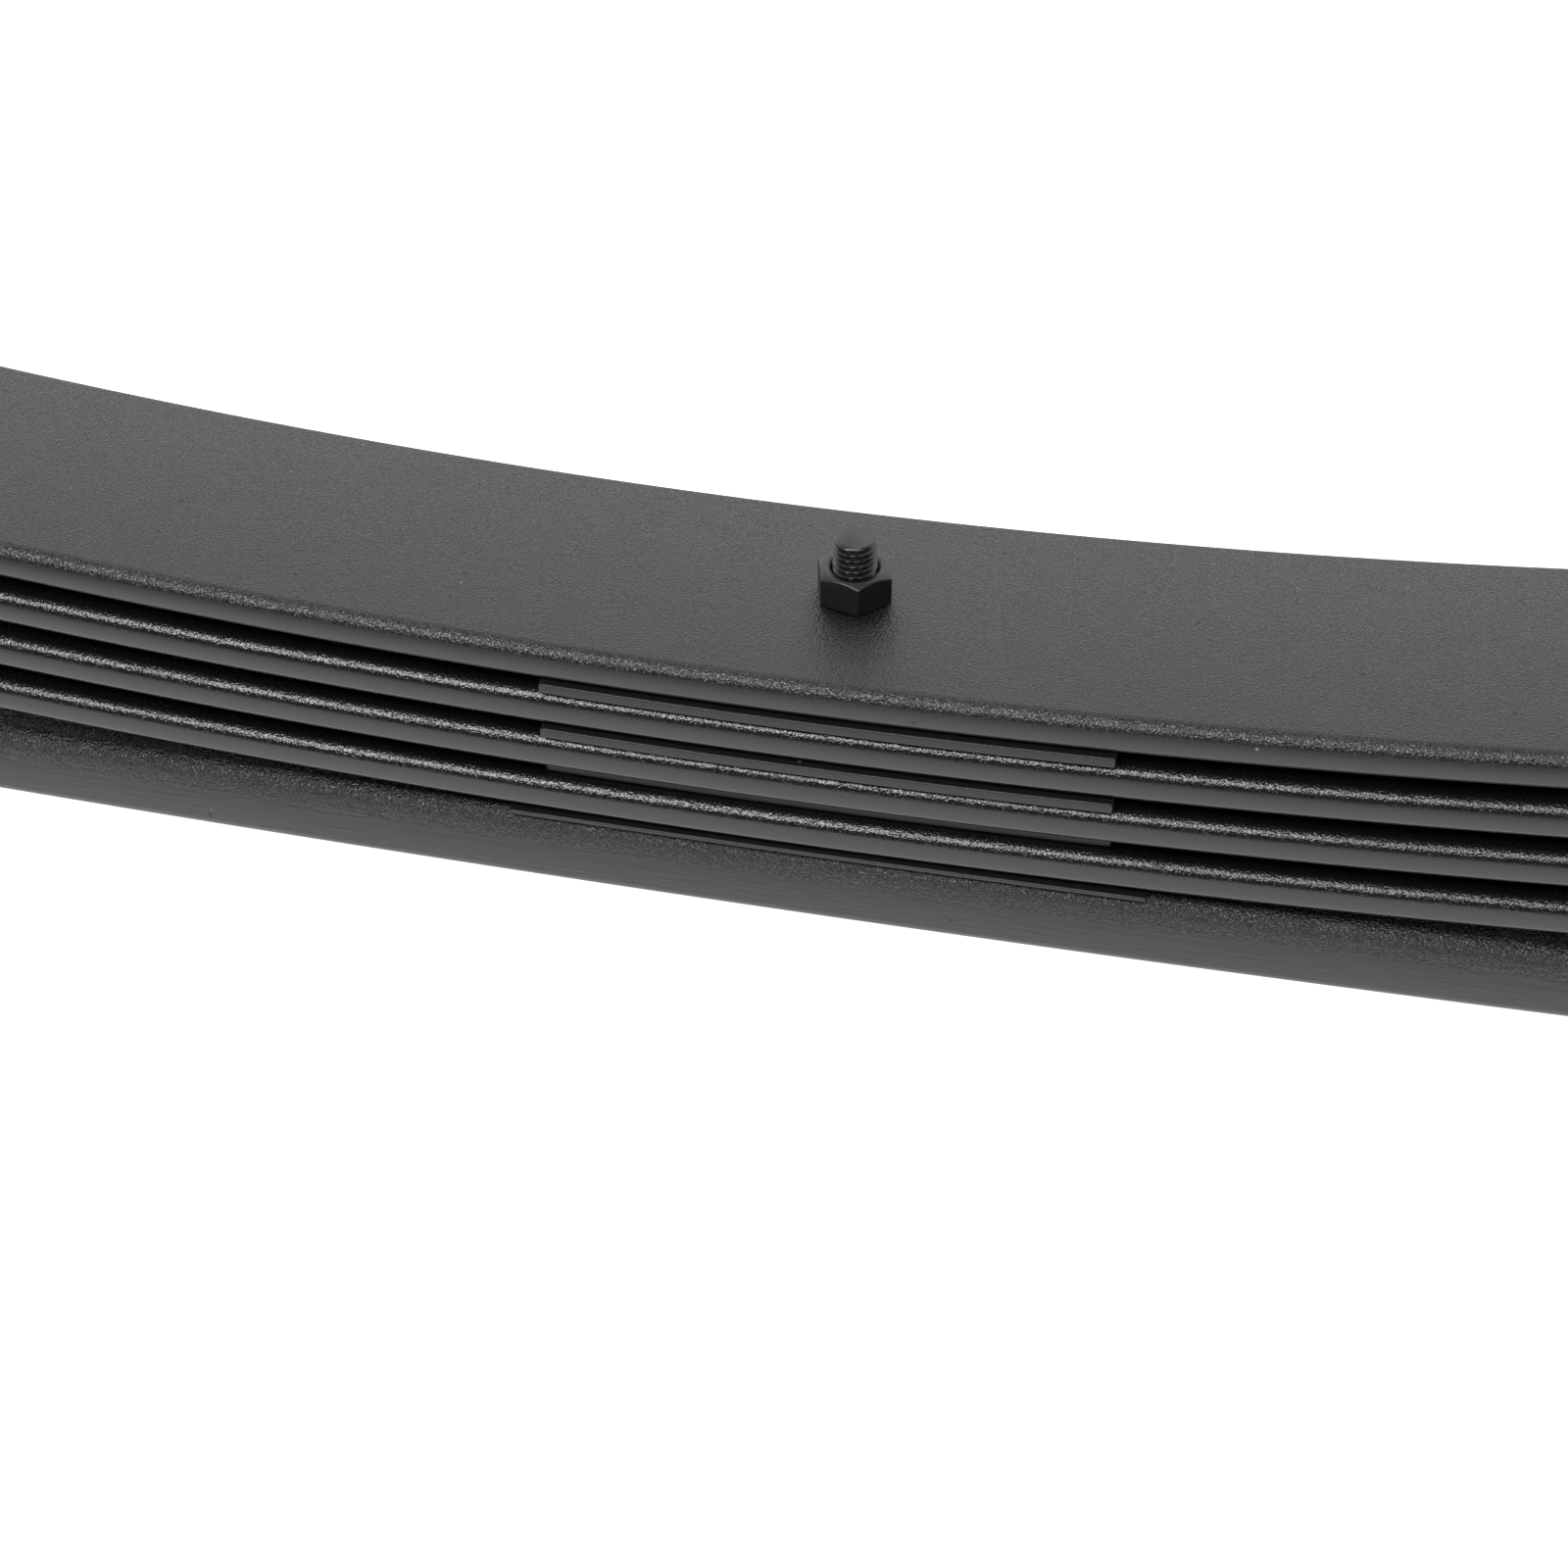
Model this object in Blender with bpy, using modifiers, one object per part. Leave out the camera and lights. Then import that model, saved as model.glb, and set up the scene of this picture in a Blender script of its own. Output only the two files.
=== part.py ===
"""A five-leaf semi-elliptic truck spring: four similar leaves over a thick overload leaf,
with centre liners, a centre bolt, rubber-bushed eyes, rebound clips and tip pads.

The frame: X runs along the spring (+X to the front eye), Y across it, +Z up. The origin is at
the bottom of the centre bolt's locating head. The leaves curve up towards both eyes.
"""

import bmesh
import bpy
from math import atan2, cos, pi, radians, sin
from mathutils import Vector

# The leaves. Arc lengths are measured along the main leaf's upper face from the centre bolt.
LEAF_WIDTH = 0.0762
LEAF_THICKNESS = 0.0095
LEAF_EDGE_RADIUS = 0.0030
MAIN_RADIUS = 1.878
OVERLOAD_THICKNESS = 0.0200
OVERLOAD_EDGE_RADIUS = 0.0040
OVERLOAD_RADIUS = 7.000
OVERLOAD_TIP_THICKNESS = 0.0120
OVERLOAD_TAPER_LENGTH = 0.060
FRONT_EYE_REACH = 0.660
REAR_EYE_REACH = 0.760
# Front and rear reach of the second, third and fourth leaf, then of the overload leaf.
LOWER_REACHES = ((0.600, 0.700), (0.470, 0.550), (0.350, 0.410))
OVERLOAD_REACH = (0.280, 0.330)
# How fast each gap between two leaves opens away from the centre, in 1/m.
GAP_OPENING = (0.050, 0.049, 0.070)
TIP_TRIM_LENGTH = 0.022
TIP_TRIM_SHARE = 0.72
STATION_STEP = 0.030

# The centre liners: the gap each one fills, its length and how far it sits off centre.
LINER_SPACE = 0.0031
LINER_LENGTH = 0.1300
OVERLOAD_LINER_SPACE = 0.0017
OVERLOAD_LINER_LENGTH = 0.1510
LINER_WIDTH = LEAF_WIDTH - 0.0012
LINER_SHIFTS = (-0.0006, -0.0006, 0.0033)
OVERLOAD_LINER_SHIFT = -0.0003

# The centre bolt and its nut. The liners' holes are loose, so that they can sit off centre.
BOLT_DIAMETER = 0.0104
BOLT_HOLE_DIAMETER = BOLT_DIAMETER + 0.0012
LINER_HOLE_DIAMETER = BOLT_DIAMETER + 0.0070
BOLT_HEAD_DIAMETER = BOLT_DIAMETER + 0.0060
BOLT_HEAD_HEIGHT = 0.0100
BOLT_END_ABOVE_LEAF = 0.0157
BOLT_POINT = 0.00075
NUT_ACROSS_FLATS = BOLT_DIAMETER + 0.0060
NUT_HEIGHT = 0.0080
NUT_FACE_DIAMETER = NUT_ACROSS_FLATS - 0.0012
NUT_CORNER_DROP = 0.0012
NUT_SINK_DIAMETER = BOLT_DIAMETER + 0.0018
NUT_TURN = radians(-74.5)

# The eyes and their bushes.
EYE_BORE_RADIUS = 0.0220
EYE_WRAP = radians(306)
EYE_STEPS = 20
SLEEVE_WALL = 0.0018
BUSH_LENGTH = LEAF_WIDTH - 0.0022
RUBBER_LENGTH = LEAF_WIDTH + 0.0008
INNER_SLEEVE_DIAMETER = 0.0240
INNER_SLEEVE_BORE = 0.0163
INNER_SLEEVE_LENGTH = LEAF_WIDTH + 0.0058

# The rebound clips, each riveted under the third leaf and bolted over the main leaf.
CLIP_BEHIND_PAD = 0.0240
STRAP_WIDTH = 0.0250
STRAP_THICKNESS = 0.0050
STRAP_BEND_RADIUS = 0.0040
STRAP_SIDE_GAP = 0.0012
STRAP_ABOVE_BOLT = 0.0090
CLIP_BOLT_DIAMETER = 0.0080
CLIP_BOLT_RISE = 0.0110
CLIP_HEX_ACROSS_FLATS = CLIP_BOLT_DIAMETER + 0.0050
CLIP_HEX_FACE_SHARE = 0.92
CLIP_HEX_DROP_SHARE = 0.07
CLIP_HEAD_HEIGHT = 0.0055
CLIP_NUT_HEIGHT = 0.0065
CLIP_BOLT_STICK_OUT = 0.0030
SPACER_DIAMETER = CLIP_BOLT_DIAMETER + 0.0070
RIVET_DIAMETER = 0.0080
RIVET_HEAD_DIAMETER = RIVET_DIAMETER + 0.0060
RIVET_HEAD_HEIGHT = 0.0035
RIVET_TOP_HEIGHT = 0.0018

# The tip pads on the ends of the second, third and fourth leaf.
PAD_LENGTH = 0.0360
PAD_WIDTH = LEAF_WIDTH - 0.0122
PAD_SETBACK = 0.0100
PEG_DIAMETER = 0.0120

# The limbs bend about an axis a quarter of the way from the axle seat to the eye.
SEAT_HALF_LENGTH = 0.055
PIVOT_SHARE = 0.25

TOUCH = 0.00025
RUNNING = 0.0004
WELD = 0.00002
ROUND_STEPS = 24
SMALL_ROUND_STEPS = 16

CENTRE_FACET = NUT_ACROSS_FLATS + 0.0070
LEAVES_BELOW_MAIN = 3
PITCH = LEAF_THICKNESS + LINER_SPACE
OVERLOAD_TOP_Z = BOLT_HEAD_HEIGHT + OVERLOAD_THICKNESS
FOURTH_TOP_Z = OVERLOAD_TOP_Z + OVERLOAD_LINER_SPACE + LEAF_THICKNESS
MAIN_TOP_Z = FOURTH_TOP_Z + LEAVES_BELOW_MAIN * PITCH
STEEL_PAINT = (0.075, 0.075, 0.077, 1.0)
SIDES = (("front", 1, 0), ("rear", -1, 1))


def new_collection(name):
    collection = bpy.data.collections.new(name)
    bpy.context.scene.collection.children.link(collection)
    return collection


def finish(solid, colour, roughness, metallic):
    """Give a sub-part its own material."""
    material = bpy.data.materials.new(solid.name)
    material.use_nodes = True
    shader = material.node_tree.nodes["Principled BSDF"]
    shader.inputs["Base Color"].default_value = colour
    shader.inputs["Roughness"].default_value = roughness
    shader.inputs["Metallic"].default_value = metallic
    solid.data.materials.clear()
    solid.data.materials.append(material)


def painted(solid):
    finish(solid, STEEL_PAINT, 0.5, 0.0)


def plated(solid):
    finish(solid, (0.32, 0.31, 0.29, 1.0), 0.38, 1.0)


def smooth(solid):
    solid.data.shade_smooth()
    solid.data.set_sharp_from_angle(angle=radians(35))


def welded_solid(name, curve):
    """A curve's mesh as a closed object in the curve's place; the curve itself is removed."""
    graph = bpy.context.evaluated_depsgraph_get()
    mesh = bpy.data.meshes.new_from_object(curve.evaluated_get(graph))
    shell = bmesh.new()
    shell.from_mesh(mesh)
    bmesh.ops.remove_doubles(shell, verts=shell.verts, dist=WELD)
    bmesh.ops.recalc_face_normals(shell, faces=shell.faces)
    shell.to_mesh(mesh)
    shell.free()
    solid = bpy.data.objects.new(name, mesh)
    solid.matrix_world = curve.matrix_world
    PARTS.objects.link(solid)
    bpy.data.objects.remove(curve)
    return solid


def flat_curve(name, points, closed):
    """A 2D polyline curve through (x, y) points."""
    data = bpy.data.curves.new(name, "CURVE")
    data.dimensions = "2D"
    spline = data.splines.new("POLY")
    spline.points.add(len(points) - 1)
    for place, (x, y) in zip(spline.points, points):
        place.co = (x, y, 0.0, 1.0)
    spline.use_cyclic_u = closed
    curve = bpy.data.objects.new(name, data)
    bpy.context.scene.collection.objects.link(curve)
    return curve


def rounded_rectangle(width, height, radius, steps=2):
    """Points round a rectangle with rounded corners, centred on the origin."""
    points = []
    corners = ((1, 1, 0), (-1, 1, 90), (-1, -1, 180), (1, -1, 270))
    for side_x, side_y, start in corners:
        for step in range(steps + 1):
            turn = radians(start + 90 * step / steps)
            x = side_x * (width / 2 - radius) + radius * cos(turn)
            y = side_y * (height / 2 - radius) + radius * sin(turn)
            points.append((x, y))
    return points


def swept_bar(name, path, width, thickness, radius, middle_y=0.0):
    """A bar of rounded rectangular section along a path of (x, z) points."""
    section = flat_curve(name + "_section", rounded_rectangle(thickness, width, radius), True)
    curve = flat_curve(name + "_path", path, False)
    curve.rotation_euler = (pi / 2, 0, 0)
    curve.location.y = middle_y
    curve.data.bevel_mode = "OBJECT"
    curve.data.bevel_object = section
    curve.data.use_fill_caps = True
    bpy.context.view_layer.update()
    bar = welded_solid(name, curve)
    bpy.data.objects.remove(section)
    return bar


def turned(name, profile, steps, closed=False):
    """A shape turned about its own Z from (radius, height) points that run down its outside."""
    shell = bmesh.new()
    corners = [shell.verts.new((radius, 0.0, height)) for radius, height in profile]
    for first, second in zip(corners, corners[1:]):
        shell.edges.new((first, second))
    if closed:
        shell.edges.new((corners[-1], corners[0]))
    mesh = bpy.data.meshes.new(name)
    shell.to_mesh(mesh)
    shell.free()
    solid = bpy.data.objects.new(name, mesh)
    PARTS.objects.link(solid)
    screw = solid.modifiers.new("Turn", "SCREW")
    screw.steps = steps
    screw.render_steps = steps
    screw.use_merge_vertices = True
    screw.merge_threshold = WELD
    return solid


def ring(name, outer, bore, length, chamfer, steps=ROUND_STEPS):
    """A tube about its own Z, centred on its middle, with its outer edges broken."""
    half = length / 2
    profile = [
        (outer / 2 - chamfer, half),
        (outer / 2, half - chamfer),
        (outer / 2, chamfer - half),
        (outer / 2 - chamfer, -half),
        (bore / 2, -half),
        (bore / 2, half),
    ]
    return turned(name, profile, steps, closed=True)


def hexagon(name, across_flats, height, face_diameter, corner_drop):
    """A hexagonal prism from z=0 to its height, its upper corners turned off."""
    corner = across_flats / (2 * cos(pi / 6))
    reach = corner - face_diameter / 2
    wide = corner + reach
    bpy.ops.mesh.primitive_cylinder_add(vertices=6, radius=corner, depth=height)
    solid = bpy.context.object
    solid.name = name
    solid.rotation_euler.z = pi / 6
    solid.location.z = height / 2
    bpy.ops.object.transform_apply(location=True, rotation=True, scale=True)
    for collection in list(solid.users_collection):
        collection.objects.unlink(solid)
    PARTS.objects.link(solid)
    outside = 2 * corner_drop
    profile = [(0.0, height), (face_diameter / 2, height), (wide, height - outside)]
    profile += [(wide, -outside), (0.0, -outside)]
    keep = turned(name + "_turning", profile, ROUND_STEPS)
    cut(solid, keep, "INTERSECT")
    return solid


def cut(solid, cutter, operation="DIFFERENCE"):
    """Hand a shape over to the cutters and use it on a solid."""
    for collection in list(cutter.users_collection):
        collection.objects.unlink(cutter)
    CUTTERS.objects.link(cutter)
    cutter.hide_render = True
    cutter.display_type = "WIRE"
    boolean = solid.modifiers.new("Cut", "BOOLEAN")
    boolean.operation = operation
    boolean.solver = "EXACT"
    boolean.object = cutter


def drill(solid, diameter, length, frame=None, location=(0, 0, 0), rotation=(0, 0, 0)):
    """Cut a round hole along the cutter's own Z, given in a frame or in the world."""
    profile = [(0.0, length / 2), (diameter / 2, length / 2), (diameter / 2, -length / 2)]
    cutter = turned(solid.name + "_drill", profile + [(0.0, -length / 2)], SMALL_ROUND_STEPS)
    place(cutter, frame, location, rotation)
    cut(solid, cutter)


def place(item, frame, location, rotation=(0, 0, 0)):
    """Put an object in a frame, which is an empty, or straight in the world."""
    item.parent = frame
    item.location = location
    item.rotation_euler = rotation


def empty(name, location, turn=0.0, parent=None):
    """A frame in the XZ plane whose own X is turned up by an angle."""
    frame = bpy.data.objects.new(name, None)
    bpy.context.scene.collection.objects.link(frame)
    frame.parent = parent
    frame.location = location
    frame.rotation_euler = (0, -turn, 0)
    return frame


# The leaves' geometry.
def pack_point(arc, depth):
    """(x, z) at an arc length along the main leaf's top and a depth square below it."""
    turn = arc / MAIN_RADIUS
    radius = MAIN_RADIUS + depth
    return radius * sin(turn), MAIN_TOP_Z + MAIN_RADIUS - radius * cos(turn)


def gap_growth(number, arc):
    """How much a gap has opened at an arc length; it closes again at the lower leaf's tip."""
    reach = LOWER_REACHES[number][0 if arc > 0 else 1]
    return 0.5 * GAP_OPENING[number] * arc**2 * (1 - (arc / reach) ** 2)


def leaf_top_depth(number, arc):
    """Depth of leaf 0 (main) to 3 (fourth) below the main leaf's top."""
    return number * PITCH + sum(gap_growth(gap, arc) for gap in range(number))


def leaf_point(number, arc, below_top):
    """(x, z) at a depth below a leaf's own upper face."""
    return pack_point(arc, leaf_top_depth(number, arc) + below_top)


def overload_point(arc, below_top):
    """(x, z) at a depth below the overload leaf's upper face."""
    turn = arc / OVERLOAD_RADIUS
    radius = OVERLOAD_RADIUS + below_top
    return radius * sin(turn), OVERLOAD_TOP_Z + OVERLOAD_RADIUS - radius * cos(turn)


def slope_at(point_at, arc):
    """The upward turn of a line of points at an arc length."""
    near = Vector(point_at(arc - STATION_STEP / 10))
    far = Vector(point_at(arc + STATION_STEP / 10))
    return atan2((far - near).y, (far - near).x)


def stations(rear, front):
    """Arc lengths from the rear end to the front end, with one facet square over the bolt."""
    inner = []
    arc = CENTRE_FACET / 2
    while arc < max(rear, front):
        inner.append(arc)
        arc += STATION_STEP
    clear = STATION_STEP / 5
    ahead = [arc for arc in inner if arc < front - clear] + [front]
    behind = [arc for arc in inner if arc < rear - clear] + [rear]
    return [-arc for arc in reversed(behind)] + ahead


def with_trim(arcs, trim):
    """The same arc lengths with one more just inside each end, where a tip starts to narrow."""
    kept = [arc for arc in arcs if arcs[0] + trim < arc < arcs[-1] - trim]
    return [arcs[0], arcs[0] + trim] + kept + [arcs[-1] - trim, arcs[-1]]


def eye_centre(reach, side):
    """(x, z) of an eye's axis; the eye is rolled up, so the leaf's top is the eye's bore."""
    return pack_point(side * reach, -EYE_BORE_RADIUS)


def eye_path(reach, side):
    """The middle of the bar round an eye, from the leaf to the rolled end."""
    centre_x, centre_z = eye_centre(reach, side)
    lean = reach / MAIN_RADIUS
    radius = EYE_BORE_RADIUS + LEAF_THICKNESS / 2
    path = []
    for step in range(1, EYE_STEPS + 1):
        turn = lean + EYE_WRAP * step / EYE_STEPS
        path.append((centre_x + side * radius * sin(turn), centre_z - radius * cos(turn)))
    return path


def trim_tips(bar, ends):
    """Narrow a leaf's two end sections, as a trimmed tip is."""
    for vertex in bar.data.vertices:
        place_now = bar.matrix_world @ vertex.co
        if place_now.x < ends[0] or place_now.x > ends[1]:
            vertex.co.z *= TIP_TRIM_SHARE


def end_lines(point_at, rear, front):
    """The x beyond which only a leaf's end section lies, at the rear and at the front."""
    half = TIP_TRIM_LENGTH / 2
    return point_at(half - rear)[0], point_at(front - half)[0]


def make_main_leaf():
    middle = LEAF_THICKNESS / 2
    arcs = stations(REAR_EYE_REACH, FRONT_EYE_REACH)
    strip = [leaf_point(0, arc, middle) for arc in arcs]
    rear_eye = list(reversed(eye_path(REAR_EYE_REACH, -1)))
    front_eye = eye_path(FRONT_EYE_REACH, 1)
    path = rear_eye + strip + front_eye
    return swept_bar("main_leaf", path, LEAF_WIDTH, LEAF_THICKNESS, LEAF_EDGE_RADIUS)


def make_lower_leaf(number, name):
    front, rear = LOWER_REACHES[number - 1]
    middle = LEAF_THICKNESS / 2
    arcs = with_trim(stations(rear, front), TIP_TRIM_LENGTH)
    path = [leaf_point(number, arc, middle) for arc in arcs]
    leaf = swept_bar(name, path, LEAF_WIDTH, LEAF_THICKNESS, LEAF_EDGE_RADIUS)
    trim_tips(leaf, end_lines(lambda arc: leaf_point(number, arc, middle), rear, front))
    return leaf


def make_overload_leaf():
    front, rear = OVERLOAD_REACH
    middle = OVERLOAD_THICKNESS / 2
    arcs = with_trim(stations(rear, front), OVERLOAD_TAPER_LENGTH)
    path = [overload_point(arc, middle) for arc in arcs]
    leaf = swept_bar(
        "overload_leaf", path, LEAF_WIDTH, OVERLOAD_THICKNESS, OVERLOAD_EDGE_RADIUS
    )
    ends = end_lines(lambda arc: overload_point(arc, middle), rear, front)
    trim_tips(leaf, ends)
    share = OVERLOAD_TIP_THICKNESS / OVERLOAD_THICKNESS
    for vertex in leaf.data.vertices:
        if ends[0] < vertex.co.x < ends[1]:
            continue
        end_arc = front if vertex.co.x > 0 else -rear
        top_z = overload_point(end_arc, 0.0)[1]
        vertex.co.y = top_z + (vertex.co.y - top_z) * share
    return leaf


def make_leaves():
    names = ("second_leaf", "third_leaf", "fourth_leaf")
    leaves = [make_main_leaf()]
    leaves += [make_lower_leaf(number + 1, name) for number, name in enumerate(names)]
    leaves.append(make_overload_leaf())
    for leaf in leaves:
        drill(leaf, BOLT_HOLE_DIAMETER, 4 * MAIN_TOP_Z)
        painted(leaf)
        smooth(leaf)
    return leaves


def make_liners():
    """Flat plates bent to the leaves they sit on, one in each gap."""
    names = ("liner_1", "liner_2", "liner_3")
    thickness = LINER_SPACE - 2 * TOUCH
    below = LEAF_THICKNESS + TOUCH + thickness / 2
    half = LINER_LENGTH / 2
    for number, name in enumerate(names):
        path = [leaf_point(number, arc, below) for arc in stations(half, half)]
        shift = LINER_SHIFTS[number]
        liner = swept_bar(name, path, LINER_WIDTH, thickness, TOUCH, shift)
        drill(liner, LINER_HOLE_DIAMETER, 4 * MAIN_TOP_Z)
        painted(liner)
    thickness = OVERLOAD_LINER_SPACE - 2 * TOUCH
    half = OVERLOAD_LINER_LENGTH / 2
    arcs = stations(half, half)
    path = [overload_point(arc, -TOUCH - thickness / 2) for arc in arcs]
    liner = swept_bar("liner_4", path, LINER_WIDTH, thickness, TOUCH, OVERLOAD_LINER_SHIFT)
    drill(liner, LINER_HOLE_DIAMETER, 4 * MAIN_TOP_Z)
    painted(liner)


def make_centre_bolt():
    """A round locating head under the overload leaf and a threaded end above the nut."""
    end_z = MAIN_TOP_Z + BOLT_END_ABOVE_LEAF
    radius = BOLT_DIAMETER / 2
    point = BOLT_POINT
    head = BOLT_HEAD_DIAMETER / 2
    head_top = BOLT_HEAD_HEIGHT - TOUCH
    profile = [
        (0.0, end_z),
        (radius - point, end_z),
        (radius, end_z - point),
        (radius, head_top),
        (head, head_top),
        (head, point),
        (head - point, 0.0),
        (0.0, 0.0),
    ]
    bolt = turned("centre_bolt", profile, ROUND_STEPS)
    painted(bolt)
    smooth(bolt)


def make_centre_nut():
    nut = hexagon(
        "centre_nut", NUT_ACROSS_FLATS, NUT_HEIGHT, NUT_FACE_DIAMETER, NUT_CORNER_DROP
    )
    bore = BOLT_DIAMETER / 2 + RUNNING
    sink = NUT_SINK_DIAMETER / 2
    depth = sink - bore
    profile = [
        (0.0, NUT_HEIGHT + depth),
        (sink + depth, NUT_HEIGHT + depth),
        (bore, NUT_HEIGHT - depth),
        (bore, -depth),
        (0.0, -depth),
    ]
    bore_cutter = turned("centre_nut_bore", profile, ROUND_STEPS)
    height = MAIN_TOP_Z + TOUCH
    place(bore_cutter, None, (0, 0, height))
    place(nut, None, (0, 0, height), (0, 0, NUT_TURN))
    cut(nut, bore_cutter)
    nut.modifiers[0].object.location.z = height
    painted(nut)


def make_bush(name, side, reach, limb_pivot):
    """A steel outer sleeve pressed into the eye, a rubber ring, and a turning inner sleeve."""
    centre_x, centre_z = eye_centre(reach, side)
    # A faceted hole is tighter at the middle of its facets than at its corners.
    facet = cos(pi / ROUND_STEPS)
    eye_facet = cos(EYE_WRAP / EYE_STEPS / 2)
    sleeve_outer = 2 * (EYE_BORE_RADIUS * eye_facet - TOUCH)
    sleeve_bore = sleeve_outer - 2 * SLEEVE_WALL
    sleeve = ring(
        name + "_bush_sleeve", sleeve_outer, sleeve_bore, BUSH_LENGTH, SLEEVE_WALL / 3
    )
    rubber_outer = sleeve_bore * facet - 2 * TOUCH
    rubber_bore = (INNER_SLEEVE_DIAMETER + 2 * RUNNING) / facet
    rubber = ring(
        name + "_bush_rubber", rubber_outer, rubber_bore, RUBBER_LENGTH, 4 * RUNNING
    )
    inner = ring(
        name + "_inner_sleeve", INNER_SLEEVE_DIAMETER, INNER_SLEEVE_BORE,
        INNER_SLEEVE_LENGTH, 2 * RUNNING,
    )
    across = (pi / 2, 0, 0)
    for piece in (sleeve, rubber):
        offset = Vector((centre_x, 0, centre_z)) - limb_pivot.location
        place(piece, limb_pivot, offset, across)
    place(inner, None, (centre_x, 0, centre_z), across)
    plated(sleeve)
    finish(rubber, (0.02, 0.02, 0.02, 1.0), 0.8, 0.0)
    plated(inner)
    for piece in (sleeve, rubber, inner):
        smooth(piece)


def strap_outline(inside_half, height):
    """A U seen from its end: (y, z) with z=0 on the inside of its base."""
    outer_half = inside_half + STRAP_THICKNESS
    bend = STRAP_BEND_RADIUS
    outer_bend = bend + STRAP_THICKNESS
    steps = 4
    points = [(-inside_half, height), (-outer_half, height)]
    for step in range(steps + 1):
        turn = pi + pi / 2 * step / steps
        points.append((bend - inside_half + outer_bend * cos(turn), bend + outer_bend * sin(turn)))
    for step in range(steps + 1):
        turn = 1.5 * pi + pi / 2 * step / steps
        points.append((inside_half - bend + outer_bend * cos(turn), bend + outer_bend * sin(turn)))
    points += [(outer_half, height), (inside_half, height)]
    for step in range(steps + 1):
        turn = -pi / 2 * step / steps
        points.append((inside_half - bend + bend * cos(turn), bend + bend * sin(turn)))
    for step in range(steps + 1):
        turn = 1.5 * pi - pi / 2 * step / steps
        points.append((bend - inside_half + bend * cos(turn), bend + bend * sin(turn)))
    return points


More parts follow.
